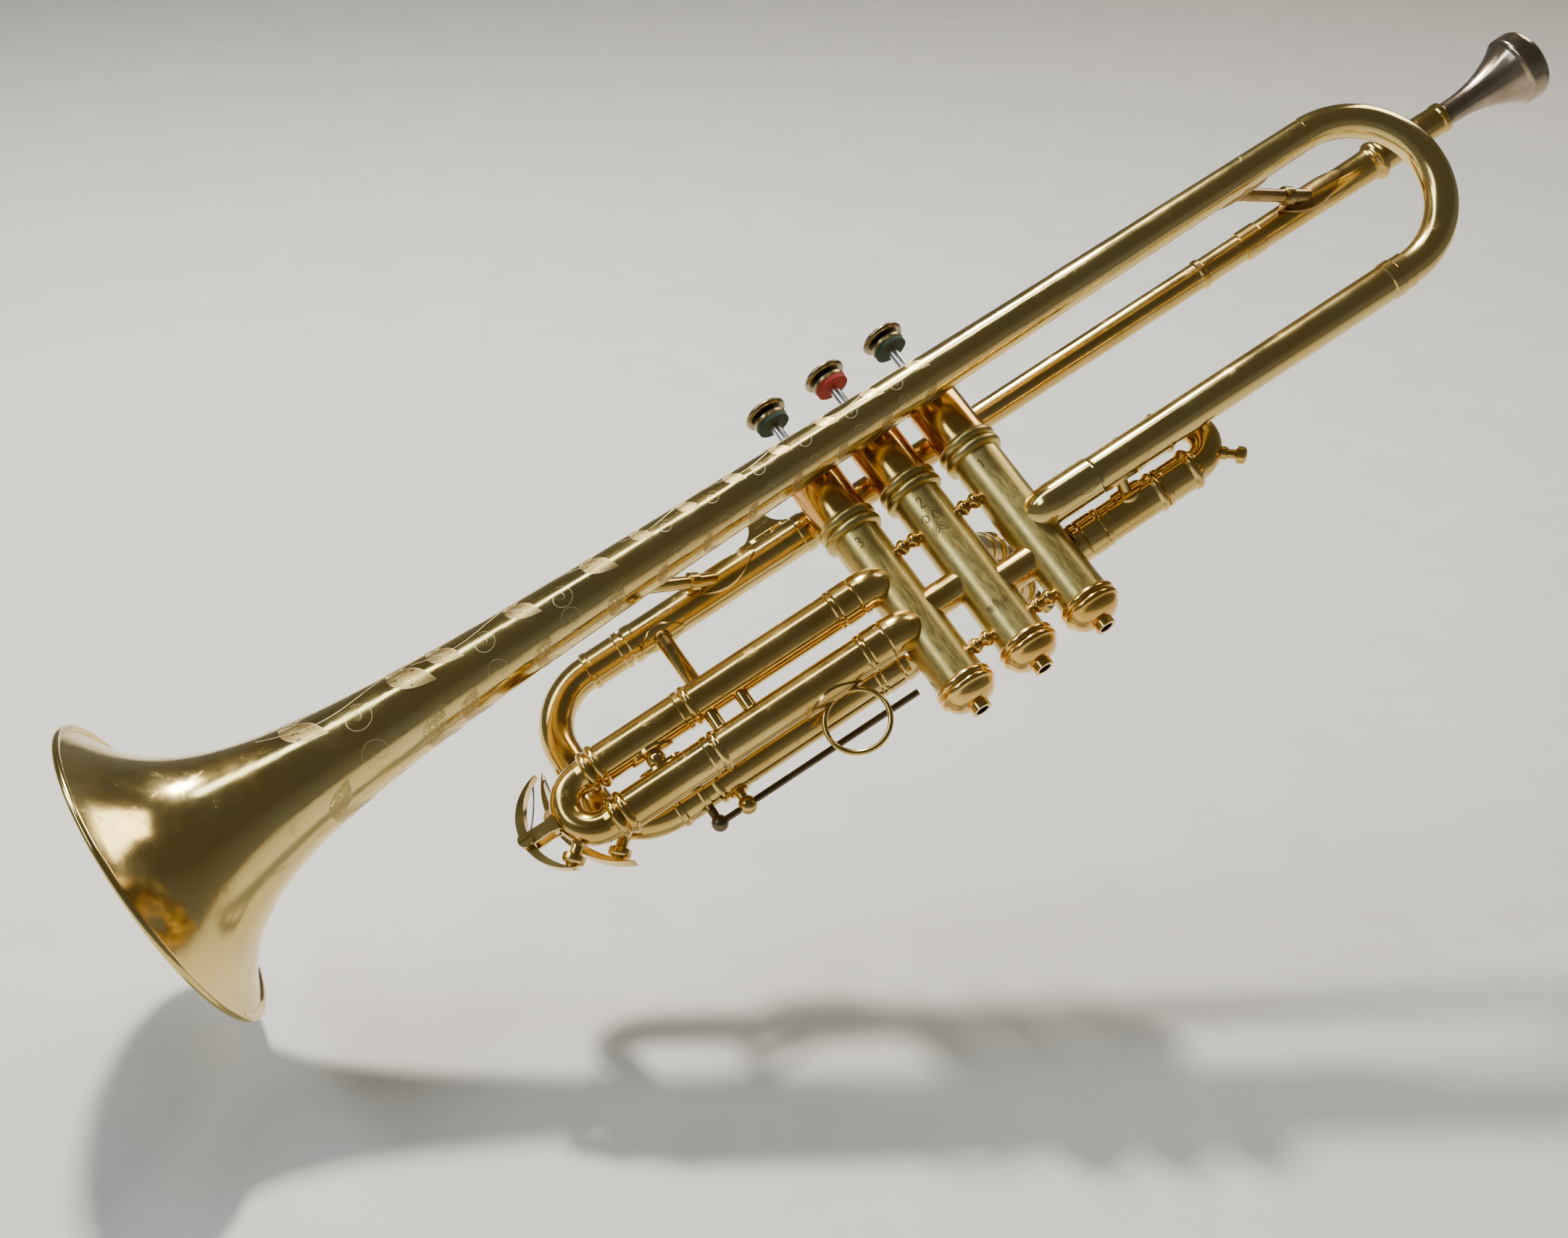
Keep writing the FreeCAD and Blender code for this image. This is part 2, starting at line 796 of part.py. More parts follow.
def build_crossovers():
    """The two short tubes that carry the air from valve to valve."""
    tubes = []
    for left, height in ((3, size.crossover_high), (2, size.crossover_low)):
        tag = "crossover_%d" % left
        length = size.valve_pitch
        inner = size.crossover_radius - size.wall
        straight = tube(tag, (valve_x(left), -1, height), ALONG, length, size.crossover_radius, inner)
        tools = [casing_plug(left, tag + "a"), casing_plug(left - 1, tag + "b")]
        if left == 2:
            tools.append(rod(tag + "_clear", (0, 0, size.second_lower_z), second_direction(),
                             size.second_seam, size.sleeve_radius))
        tubes.append(cut(tag + "_cut", straight, tools))
    keep("crossover_tubes", group("crossover_tubes", tubes))


def build_casing_braces():
    """Four two-bead distance pieces, low and high between neighbouring casings."""
    bead = 2.6
    neck = 1.6
    span = size.valve_pitch
    outline = [(0, 0), (neck, 0), (neck, 8.4), (bead, 9.6, 1.5), (bead, 11.4), (neck, 12.7)]
    outline += [(bead, 14.1, 1.5), (bead, 15.9), (neck, 17.1), (neck, span), (0, span)]
    pieces = []
    for left in (3, 2):
        for height in (19.0, 63.6):
            tag = "casing_brace_%d_%d" % (left, height)
            straight = turned(tag, (valve_x(left), -4, height), ALONG, outline)
            plugs = [casing_plug(left, tag + "a"), casing_plug(left - 1, tag + "b")]
            pieces.append(cut(tag + "_cut", straight, plugs))
    keep("casing_braces", group("casing_braces", pieces))


# ---------------------------------------------------------------- fixed slide tubes
def sleeve(name, axis, start, finish):
    """A fixed outer tube along X, with a bead at its open end and a ringed band at the other."""
    length = finish - start if finish.value > start.value else start - finish
    outer = size.sleeve_radius
    band = outer + 0.45
    outline = [
        (sleeve_bore, 0),
        (band, 0),
        (band, 2),
        (outer + 0.1, 2.6),
        (band, 3.2),
        (band, 9.4),
        (outer + 0.1, 10),
        (band, 10.6),
        (band, 11.6),
        (outer, 12.2),
        (outer, length - 3.0),
        (outer + 0.35, length - 2.4, 1.4),
        (outer + 0.35, length - 0.5),
        (outer, length),
        (sleeve_bore, length),
    ]
    direction = ALONG if finish.value > start.value else BACK
    return turned(name + "_tube", (start, axis[0], axis[1]), direction, outline)


def build_main_sleeves():
    start = size.main_sleeve_end + size.main_sleeve_length
    lead = size.lead_radius
    length = start - size.main_sleeve_end
    outer = size.sleeve_radius
    outline = [
        (lead, -8),
        (lead + 0.6, -8),
        (lead + 0.9, -6),
        (outer, -1),
        (outer + 0.4, 0),
        (outer + 0.4, 3),
        (outer, 3.6),
        (outer, length - 4),
        (outer + 0.35, length - 3.4),
        (outer + 0.35, length - 0.6),
        (outer, length),
        (sleeve_bore, length),
        (sleeve_bore, 0),
        (lead, 0),
    ]
    upper = turned("main_upper_sleeve", (start, size.lead_y, size.lead_z), BACK, outline)
    keep("main_upper_sleeve", upper)
    straight = sleeve("main_low", main_low_axis, elbow_start_3, size.main_sleeve_end - 2)
    blocker = elbow_blocker("third_block", 3, -1, third_low_axis)
    corner = elbow("main_elbow", 3, -1, main_low_axis, [blocker])
    keep("main_lower_sleeve", fuse("main_lower_sleeve", [straight, corner]))


def build_third_sleeves():
    for name, axis in (("third_upper_sleeve", third_up_axis), ("third_lower_sleeve", third_low_axis)):
        straight = sleeve(name, axis, elbow_start_3, size.third_seam)
        corner = elbow(name + "_elbow", 3, -1, axis)
        keep(name, fuse(name, [straight, corner]))


def build_first_sleeves():
    for name, axis in (("first_upper_sleeve", first_up_axis), ("first_lower_sleeve", first_low_axis)):
        straight = sleeve(name, axis, elbow_start_1, size.first_seam)
        blocker = elbow_blocker(name + "_block", 1, 1, tail_axis)
        corner = elbow(name + "_elbow", 1, 1, axis, [blocker])
        keep(name, fuse(name, [straight, corner]))


def second_direction():
    return (sine(size.second_turn), cosine(size.second_turn), 0)


def build_second_sleeves():
    pieces = []
    for height in (size.second_upper_z, size.second_lower_z):
        tag = "second_sleeve_%d" % height.value
        outer = size.sleeve_radius
        outline = [(sleeve_bore, 4), (outer, 4), (outer, size.second_seam - 2.6)]
        outline += [(outer + 0.4, size.second_seam - 2), (outer + 0.4, size.second_seam)]
        outline += [(sleeve_bore, size.second_seam)]
        straight = turned(tag, (0, 0, height), second_direction(), outline)
        pieces.append(cut(tag + "_cut", straight, [casing_plug(2, tag)]))
    keep("second_sleeves", group("second_sleeves", pieces))


# ---------------------------------------------------------------- braces, hook and ring
def leaf(half_length, half_width):
    """A pointed leaf outline, its long way along X."""
    length = as_size(half_length)
    width = as_size(half_width)
    bow = (length * length + width * width) / (width * 2)
    return [(-length, 0, -bow), (length, 0, -bow)]


def saddle(name, axis, x, inner, half_length, half_width, toward, thickness=0.9):
    """A leaf-shaped foot that wraps a tube running along X, on the side facing toward (y, z)."""
    shell = tube(name + "_shell", (x - half_length - 1, axis[0], axis[1]), ALONG,
                 as_size(half_length) * 2 + 2, inner + thickness, inner)
    outline = leaf(half_length, half_width)
    prism = plate(name + "_leaf", (x, axis[0], axis[1]), (0, toward[0], toward[1]), outline, inner + 4)
    piece = document.addObject("Part::MultiCommon", name)
    piece.Shapes = [shell, prism]
    return piece


def receiver_core():
    """The receiver's tapered outside, between its two ringed ends, as a solid to cut by."""
    low = 8.6
    high = size.receiver_end - size.receiver_start - 35
    outline = [(0, low), (size.lead_radius + 0.3, low), (size.lead_radius + 0.9, high), (0, high)]
    return turned("receiver_core", (size.receiver_start, size.lead_y, size.lead_z), ALONG, outline)


def brace(name, lead_x, foot_radius, lead_tube):
    """A turned, slanting distance rod from the bell to the mouthpipe, on a leaf foot at each end."""
    bell_x = lead_x - size.brace_slant
    step = (size.brace_slant, size.lead_y - size.bell_y, size.lead_z - size.bell_z)
    length = root(step[0] * step[0] + step[1] * step[1] + step[2] * step[2])
    collar = length * size.brace_collar
    ring = 3.5
    outline = [
        (0, 0),
        (2.6, 0),
        (2.4, collar - 2.2),
        (ring, collar - 1.6),
        (ring, collar + 1.6),
        (2.6, collar + 2.2),
        (3.2, length),
        (0, length),
    ]
    post = turned(name + "_post", (bell_x, size.bell_y, size.bell_z), step, outline)
    lead_foot = saddle(name + "_lead_foot", lead_axis, lead_x - 4, foot_radius, 14.5, 5.6,
                       (size.bell_y - size.lead_y, size.bell_z - size.lead_z))
    leaf_x = bell_x + size.brace_slant * 0.24
    prism = plate(name + "_bell_leaf", (leaf_x, size.bell_y, size.bell_z), (0, step[1], step[2]),
                  leaf(14.5, 6.0), 16)
    bell_foot = document.addObject("Part::MultiCommon", name + "_bell_foot")
    bell_foot.Shapes = [bell_turned(name + "_bell_skin", 0.9, None), prism]
    joined = fuse(name + "_joined", [post, lead_foot, bell_foot])
    keep(name, cut(name, joined, [bell_turned(name + "_bell_inside", 0, None), lead_tube]))


def build_slide_brace():
    """A stout post, collared at its top, from the upper main sleeve to the third slide's sleeve."""
    x = size.slide_brace_x
    step = (0, size.third_y - size.lead_y, size.third_upper_z - size.lead_z)
    length = root(step[1] * step[1] + step[2] * step[2])
    outline = [(0, 0), (3.5, 0), (3.5, 9.6), (3.0, 10.2), (3.0, length), (0, length)]
    post = turned("slide_brace_post", (x, size.lead_y, size.lead_z), step, outline)
    upper = saddle("slide_brace_top", lead_axis, x, size.sleeve_radius, 9, 5, (step[1], step[2]))
    lower = saddle("slide_brace_low", third_up_axis, x, size.sleeve_radius, 3.4, 5, (-step[1], -step[2]))
    joined = fuse("slide_brace_joined", [post, upper, lower])
    tools = [
        x_rod("slide_brace_a", lead_axis, x - 20, x + 20, size.sleeve_radius),
        x_rod("slide_brace_b", third_up_axis, x - 20, x + 20, size.sleeve_radius),
    ]
    keep("slide_brace", cut("slide_brace", joined, tools))


def build_finger_hook():
    """A finger hook: a flared neck on a leaf foot, and a long bar over the tube towards the bell."""
    x = size.hook_x
    foot = saddle("hook_foot", lead_axis, x - 5, size.sleeve_radius, 11, 5.5, (0, 1), 1.0)
    half_thick = as_size(2.3)
    side = [
        (-14.0, -2.0),
        (6.4, -2.0),
        (6.4, 0.2, -9.0),
        (0.6, 6.5),
        (-2.0, 10.0, 9.0),
        (-9.5, 15.6, 70.0),
        (size.hook_tip, 13.0, 1.3),
        (size.hook_tip, 10.8, -68.0),
        (-12.5, 12.6, -6.0),
        (-6.8, 6.5, -8.0),
        (-14.0, 0.2),
    ]
    corner = (x, size.lead_y + half_thick, size.lead_z + size.sleeve_radius)
    arm = plate("hook_arm", corner, FLAT, side, half_thick * 2)
    inside = x_rod("hook_tube", lead_axis, x - 30, x + 30, size.sleeve_radius)
    keep("finger_hook", cut("finger_hook", fuse("hook_joined", [foot, arm]), [inside]))


def build_finger_ring():
    """A round wire ring under the third slide's lower sleeve, on a leaf foot."""
    x = size.ring_x
    foot = saddle("ring_foot", third_low_axis, x - 2, size.sleeve_radius, 11, 5, (0, -1))
    wire = document.addObject("Part::Torus", "ring_wire")
    bind(wire, Radius1=size.ring_radius, Radius2=size.ring_wire)
    drop = size.sleeve_radius + size.ring_radius
    place(wire, (x, size.third_y, size.third_lower_z - drop), FLAT)
    joined = fuse("ring_joined", [foot, wire])
    inside = x_rod("ring_tube", third_low_axis, x - 30, x + 30, size.sleeve_radius)
    keep("finger_ring", cut("finger_ring", joined, [inside]))


def build_third_spacers():
    pieces = []
    for x in (-90.0, -102.2):
        tag = "third_spacer_%d" % -x
        post = rod(tag, (x, size.third_y, size.third_lower_z), (0, 0, 1),
                   size.third_upper_z - size.third_lower_z, 2.6)
        tools = [
            x_rod(tag + "a", third_up_axis, as_size(x - 5), as_size(x + 5), size.sleeve_radius),
            x_rod(tag + "b", third_low_axis, as_size(x - 5), as_size(x + 5), size.sleeve_radius),
        ]
        pieces.append(cut(tag + "_cut", post, tools))
    keep("third_spacers", group("third_spacers", pieces))


def build_first_brace():
    """A short post from the tail to the first slide's lower sleeve."""
    x = size.first_brace_x
    step = (0, size.first_y - size.tail_y, size.first_lower_z - size.tail_z)
    length = root(step[1] * step[1] + step[2] * step[2])
    post = rod("first_brace_post", (x, size.tail_y, size.tail_z), step, length, 2.3)
    foot = saddle("first_brace_foot", tail_axis, x, size.tail_radius, 8, 5, (step[1], step[2]))
    low = saddle("first_brace_low", first_low_axis, x, size.sleeve_radius, 6, 5, (-step[1], -step[2]))
    joined = fuse("first_brace_joined", [post, foot, low])
    tools = [
        x_rod("first_brace_a", tail_axis, x - 20, x + 20, size.tail_radius),
        x_rod("first_brace_b", first_low_axis, x - 20, x + 20, size.sleeve_radius),
    ]
    keep("first_brace", cut("first_brace", joined, tools))


def build_rod_guide():
    """A drilled ball on a post under the main slide's lower sleeve; the stop rod slides in it."""
    x = size.guide_x
    centre = (x, size.main_lower_y, size.rod_z)
    pieces = [
        ball("guide_ball", centre, size.rod_ball),
        rod("guide_post", centre, (0, 0, 1), size.main_lower_z - size.rod_z, 1.8),
        saddle("guide_foot", main_low_axis, x, size.sleeve_radius, 3.4, 4.0, (0, -1)),
    ]
    tools = [
        x_rod("guide_tube", main_low_axis, x - 10, x + 10, size.sleeve_radius),
        x_rod("guide_bore", (size.main_lower_y, size.rod_z), x - 10, x + 10, size.rod_radius + size.slide_gap),
    ]
    keep("rod_guide", cut("rod_guide", fuse("guide_joined", pieces), tools))


# ---------------------------------------------------------------- main tuning slide
def main_leg(name, axis, collar_x, bow_end):
    """An inner slide leg with a beaded collar where it meets the bow."""
    leg = size.leg_radius
    inner = leg - size.wall
    tip = size.main_sleeve_end + size.main_overlap
    stop = tip - collar_x
    end = tip - bow_end
    outline = [
        (inner, 0),
        (leg, 0),
        (leg, stop),
        (leg + 0.9, stop + 0.3),
        (leg + 0.9, stop + 2.2),
        (leg + 0.5, stop + 2.8),
        (leg + 0.5, end - 2.8),
        (leg + 0.9, end - 2.2),
        (leg + 0.9, end - 0.5),
        (leg + 0.5, end),
        (inner, end),
    ]
    keep(name, turned(name, (tip, axis[0], axis[1]), BACK, outline))


def build_main_slide():
    step, length, normal = spread(main_low_axis, lead_axis)
    share = size.main_corner / length
    upper = between(lead_axis, main_low_axis, share)
    lower = between(main_low_axis, lead_axis, share)
    radius = size.leg_radius
    inner = radius - size.wall
    x = size.main_bow_x
    ring = size.main_corner
    pieces = [
        bend("main_top_corner", (x, upper[0], upper[1]), normal, 90, ring, radius, inner, 90),
        bend("main_low_corner", (x, lower[0], lower[1]), normal, 180, ring, radius, inner, 90),
        tube("main_back", (x - ring, lower[0], lower[1]), step, length - ring * 2, radius, inner),
    ]
    nipple = key_nipple("main", main_key_place())
    joined = fuse("main_bow_joined", pieces + [nipple])
    keep("main_bow", cut("main_bow", joined, [key_hole("main", main_key_place())]))
    main_leg("main_upper_leg", lead_axis, size.main_collar_x, x)
    main_leg("main_lower_leg", main_low_axis, size.main_low_collar_x, x)


def build_stop_rod():
    """The stop rod hangs from a ball and post under the moving leg's collar."""
    start = size.main_low_collar_x - 1.8
    centre = (start, size.main_lower_y, size.rod_z)
    pieces = [
        x_rod("rod_wire", (size.main_lower_y, size.rod_z), start, size.rod_end, size.rod_radius),
        ball("rod_ball", centre, size.rod_ball - 0.4),
        rod("rod_post", centre, (0, 0, 1), size.main_lower_z - size.rod_z, 1.6),
    ]
    collar = x_rod("rod_collar", main_low_axis, start - 8, start + 8, size.leg_radius + 0.9)
    keep("stop_rod", cut("stop_rod", fuse("rod_joined", pieces), [collar]))


# ---------------------------------------------------------------- third valve slide
def build_third_slide():
    for name, axis in (("third_upper_leg", third_up_axis), ("third_lower_leg", third_low_axis)):
        leg = size.leg_radius
        inner = size.crook_radius - size.wall
        tip = size.third_seam + size.third_overlap
        seam = tip - size.third_seam + 0.4
        collar = tip - size.third_collar
        end = tip - size.third_crook_x
        outer = size.sleeve_radius
        outline = [
            (inner, 0),
            (leg, 0),
            (leg, seam),
            (outer + 0.3, seam),
            (outer + 0.3, seam + 2),
            (outer, seam + 2.6),
            (outer, collar),
            (outer + 0.5, collar + 0.5, 1.6),
            (outer + 0.5, collar + 3),
            (outer - 0.2, collar + 3.6),
            (outer + 0.2, collar + 4.2, 1.6),
            (outer + 0.2, collar + 6.4),
            (size.crook_radius + 0.4, collar + 7),
            (size.crook_radius, end),
            (inner, end),
        ]
        keep(name, turned(name, (tip, axis[0], axis[1]), BACK, outline))
    middle = between(third_low_axis, third_up_axis, 0.5)
    ring = (size.third_upper_z - size.third_lower_z) / 2
    inner = size.crook_radius - size.wall
    centre = (size.third_crook_x, middle[0], middle[1])
    crook = bend("third_bend", centre, FLAT, 90, ring, size.crook_radius, inner, 180)
    nipple = key_nipple("third", third_key_place())
    joined = fuse("third_crook_joined", [crook, nipple])
    keep("third_crook", cut("third_crook", joined, [key_hole("third", third_key_place())]))


def build_third_cross_brace():
    x = (size.third_seam + size.third_collar) / 2 - 1
    centre = (x, size.third_y, (size.third_upper_z + size.third_lower_z) / 2)
    pieces = [
        ball("cross_ball", centre, 3.5),
        rod("cross_post", (x, size.third_y, size.third_lower_z), (0, 0, 1),
            size.third_upper_z - size.third_lower_z, 1.8),
        saddle("cross_top", third_up_axis, x, size.sleeve_radius, 8, 4.5, (0, -1)),
        saddle("cross_low", third_low_axis, x, size.sleeve_radius, 8, 4.5, (0, 1)),
    ]
    tools = [
        x_rod("cross_a", third_up_axis, x - 12, x + 12, size.sleeve_radius),
        x_rod("cross_b", third_low_axis, x - 12, x + 12, size.sleeve_radius),
    ]
    keep("third_cross_brace", cut("third_cross_brace", fuse("cross_joined", pieces), tools))


# ---------------------------------------------------------------- first and second valve slides
def short_slide(name, start, direction, height_low, height_high, seam, crook_at, tip, normal, spin):
    """Two legs, a crook and a stepped pull knob, soldered into one moving piece."""
    leg = size.leg_radius
    inner = size.crook_radius - size.wall
    outer = size.sleeve_radius
    shape = [
        (0, tip),
        (leg, tip),
        (leg, seam + 0.3),
        (outer + 0.3, seam + 0.3),
        (outer + 0.3, seam + 2),
        (outer, seam + 2.6),
        (outer, crook_at - 4.6),
        (outer + 0.5, crook_at - 4, 1.6),
        (outer + 0.5, crook_at - 1.6),
        (size.crook_radius + 0.2, crook_at),
        (0, crook_at),
    ]
    solids = []
    hollows = []
    for height in (height_low, height_high):
        tag = "%s_leg_%d" % (name, height.value)
        solids.append(turned(tag, (start[0], start[1], height), direction, shape))
        hollows.append(rod(tag + "_hollow", (start[0], start[1], height), direction, crook_at, inner))
    ring = (height_high - height_low) / 2
    middle = (height_high + height_low) / 2
    centre = (start[0] + direction[0] * crook_at, start[1] + direction[1] * crook_at, middle)
    for pieces, radius in ((solids, size.crook_radius), (hollows, inner)):
        half_ring = document.addObject("Part::Torus", name + "_bend")
        bind(half_ring, Radius1=ring, Radius2=radius)
        half_ring.Angle3 = 180
        pieces.append(place(half_ring, centre, normal, spin))
    surface = ring + size.crook_radius
    knob_outline = [
        (0, surface - 3),
        (2.4, surface - 3),
        (2.4, surface + 1.5),
        (1.7, surface + 2.2),
        (1.7, surface + 4.4),
        (3.2, surface + 5.4),
        (3.2, surface + 7.6, 2.6),
        (1.4, surface + 8.7),
        (0, surface + 8.7),
    ]
    fall = 45
    knob_direction = (direction[0] * cosine(fall), direction[1] * cosine(fall), -sine(fall))
    solids.append(turned(name + "_knob", centre, knob_direction, knob_outline))
    keep(name, cut(name, fuse(name + "_joined", solids), hollows))


def build_short_slides():
    along = (as_size(1), as_size(0), 0)
    short_slide("first_slide", (as_size(0), size.first_y), along, size.first_lower_z, size.first_upper_z,
                size.first_seam, size.first_crook_x, size.first_seam - size.first_overlap, FLAT, -90)
    outward = second_direction()
    normal = (outward[1], -outward[0], 0)
    heading = 90 - size.second_turn
    short_slide("second_slide", (as_size(0), as_size(0)), outward, size.second_lower_z, size.second_upper_z,
                size.second_seam, size.second_crook, size.second_seam - size.second_overlap, normal,
                heading - 90)


# ---------------------------------------------------------------- water keys
def main_key_place():
    """Bend centre, ring radius, tube radius, cup angle, plane normal and lever shift, in that order."""
    length, normal = spread(main_low_axis, lead_axis)[1:]
    lower = between(main_low_axis, lead_axis, size.main_corner / length)
    centre = (size.main_bow_x, lower[0], lower[1])
    return centre, size.main_corner, size.leg_radius, as_size(225), normal, as_size(0)


def third_key_place():
    middle = between(third_low_axis, third_up_axis, 0.5)
    ring = (size.third_upper_z - size.third_lower_z) / 2
    centre = (size.third_crook_x, middle[0], middle[1])
    return centre, ring, size.crook_radius, size.key_angle, (0, as_size(-1), as_size(0)), as_size(6)


def key_side(where):
    """The unit normal of the bend's plane; the hinge screw runs the opposite way."""
    normal = where[4]
    length = root(normal[1] * normal[1] + normal[2] * normal[2])
    return (as_size(0), normal[1] / length, normal[2] / length)


def key_direction(where):
    """The way the cup faces away from the bend's centre, in the bend's own plane."""
    side = key_side(where)
    return (cosine(where[3]), side[2] * sine(where[3]), -side[1] * sine(where[3]))


def key_place(where, across, sideways):
    """A place level with the bend's centre: across is along X, sideways is along the plane's normal."""
    centre = where[0]
    side = key_side(where)
    return (centre[0] + across, centre[1] + side[1] * sideways, centre[2] + side[2] * sideways)


def key_nipple(name, where):
    centre, ring, radius = where[:3]
    surface = ring + radius
    outline = [
        (0, surface - 1.2),
        (size.nipple_radius + 0.8, surface - 1.2),
        (size.nipple_radius, surface + 0.8),
        (size.nipple_radius, surface + size.nipple_height),
        (0, surface + size.nipple_height),
    ]
    return turned(name + "_nipple", centre, key_direction(where), outline)


def key_hole(name, where):
    centre, ring, radius = where[:3]
    direction = key_direction(where)
    start = tuple(centre[number] + direction[number] * ring for number in range(3))
    return rod(name + "_drain", start, direction, radius + 10, size.nipple_radius - 0.9)


def lever_radius(where):
    """The lever is one arc about a point near the bend's centre, passing just outside the cup."""
    return where[1] + where[2] + size.nipple_height + size.cup_height + 0.6 - where[5] * 0.7


def pivot_reach(where):
    """How far the hinge screw stands from the bend's centre, back along X."""
    return lever_radius(where) + size.lever_thickness / 2 + where[5]


def lever_outline(arc, low, high):
    """A crescent from one angle to another about a centre, thickest at its middle."""
    middle = as_size((low + high) / 2)
    half = as_size((high - low) / 2)
    radius = arc + size.lever_thickness / 2
    half_chord = radius * sine(half)
    rise = radius - radius * cosine(half)
    outer = rise + size.lever_belly
    inner = rise - size.lever_belly * 0.7
    outer_radius = (half_chord * half_chord + outer * outer) / (outer * 2)
    inner_radius = (half_chord * half_chord + inner * inner) / (inner * 2)
    first = (radius * cosine(middle - half), radius * sine(middle - half), outer_radius)
    last = (radius * cosine(middle + half), radius * sine(middle + half), -inner_radius)
    return [first, last]


def build_water_key(name, where):
    centre, ring, radius = where[:3]
    normal, shift = where[4:]
    seat = ring + radius + size.nipple_height
    cup = [
        (0, seat),
        (size.cup_radius - 1.0, seat),
        (size.cup_radius, seat + 0.6),
        (size.cup_radius, seat + size.cup_height - 1.2, 1.8),
        (size.cup_radius - 1.6, seat + size.cup_height),
        (1.6, seat + size.cup_height + 1.8),
        (0, seat + size.cup_height + 1.8),
    ]
    width = size.lever_width
    side = key_side(where)
    screw = tuple(-part for part in side)
    low, high = (150, 236) if shift.value == 0 else (108, 240)
    reach = -pivot_reach(where)
    outline = lever_outline(lever_radius(where), low, high)
    pieces = [
        turned(name + "_cup", centre, key_direction(where), cup),
        plate(name + "_lever", key_place(where, -shift, -width / 2), normal, outline, width),
        rod(name + "_barrel", key_place(where, reach, width / 2), screw, width, size.screw_radius + 1.1),
    ]
    hole = rod(name + "_pivot_hole", key_place(where, reach, width), screw, width * 2,
               size.screw_radius + size.slide_gap)
    keep(name, cut(name, fuse(name + "_joined", pieces), [hole]))


def build_key_post(name, where):
    """Two cheeks on the bend that carry the hinge screw, with the screw through them."""
    centre, ring, radius = where[:3]
    normal, shift = where[4:]
    width = size.lever_width
    cheek = as_size(1.4)
    half_span = width / 2 + 0.3 + cheek
    surface = ring + radius
    reach = pivot_reach(where)
    cheek_outline = [
        (1.5 - surface, 3.0),
        (-surface - 2.0, 2.2),
        (-reach, 2.4),
        (-reach - 2.2, 1.0),
        (-reach - 2.2, -1.0),
        (-reach, -2.4),
        (-surface - 2.0, -2.2),
        (1.5 - surface, -3.0),
    ]
    bridge_outline = [(1.5 - surface, 2.4), (-surface - 1.2, 2.2), (-surface - 1.2, -2.2), (1.5 - surface, -2.4)]
    screw = tuple(-part for part in key_side(where))
    start = key_place(where, -reach, half_span + 1.2)
    inside = document.addObject("Part::Torus", name + "_tube")
    bind(inside, Radius1=ring, Radius2=radius)
    place(inside, centre, normal)
    slot_outline = [(-reach - 4, -0.3), (-reach + 4, -0.3), (-reach + 4, 0.3), (-reach - 4, 0.3)]
    slot = plate(name + "_slot", key_place(where, 0, half_span + 0.6), normal, slot_outline, 2)
    tools = [inside, slot]
    if shift.value == 0:
        up = (0, key_side(where)[2], -key_side(where)[1])
        tools.append(rod(name + "_straight", key_place(where, -ring, 0), up, 30, radius))
    pieces = [
        plate(name + "_cheek_a", key_place(where, 0, half_span - cheek), normal, cheek_outline, cheek),
        plate(name + "_cheek_b", key_place(where, 0, -half_span), normal, cheek_outline, cheek),
        plate(name + "_bridge", key_place(where, 0, -half_span), normal, bridge_outline, half_span * 2),
        rod(name + "_screw", start, screw, half_span * 2 + 1.2, size.screw_radius),
        rod(name + "_head", start, screw, 1.2, size.screw_radius + 1.2),
    ]
    keep(name, cut(name, fuse(name + "_joined", pieces), tools))


# ---------------------------------------------------------------- build and hand over
def build_all():
    build_bell()
    build_bow()
    build_tail()
    build_leadpipe()
    build_receiver()
    build_mouthpiece()
    for number in VALVE_NUMBERS:
        build_casing(number)
        build_top_cap(number)
        build_bottom_cap(number)
        build_piston(number)
        build_button(number)
        build_valve_spring(number)
    build_crossovers()
    build_casing_braces()
    build_main_sleeves()
    build_third_sleeves()
    build_first_sleeves()
    build_second_sleeves()
    sleeve_core = x_rod("front_brace_tube", lead_axis, size.front_brace_x - 40,
                        size.front_brace_x + 25, size.sleeve_radius)
    brace("front_brace", size.front_brace_x, size.sleeve_radius, sleeve_core)
    brace("rear_brace", size.rear_brace_x, size.lead_radius + 0.7, receiver_core())
    build_slide_brace()
    build_finger_hook()
    build_finger_ring()
    build_third_spacers()
    build_first_brace()
    build_rod_guide()
    build_main_slide()
    build_stop_rod()
    build_third_slide()
    build_third_cross_brace()
    build_short_slides()
    build_water_key("main_water_key", main_key_place())
    build_key_post("main_key_post", main_key_place())
    build_water_key("third_water_key", third_key_place())
    build_key_post("third_key_post", third_key_place())


def check_and_write():
    os.makedirs("parts", exist_ok=True)
    faults = 0
    for item in document.Objects:
        if "Invalid" in item.State or "Error" in item.State:
            print("BAD STATE", item.Name, item.State)
            faults += 1
    for name, piece in parts.items():
        shape = piece.Shape
        if shape.isNull() or not shape.isValid():
            print("BAD SHAPE", name)
            faults += 1
            continue
        print("%-20s solids %d  volume %9.2f  %s" % (name, len(shape.Solids), shape.Volume, shape.BoundBox))
        shape.exportStep("parts/%s.step" % name)
    print("parts", len(parts), "faults", faults)


build_all()
document.recompute()
check_and_write()
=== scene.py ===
import json
import math

import bpy
from mathutils import Matrix, Vector
from mathutils.bvhtree import BVHTree


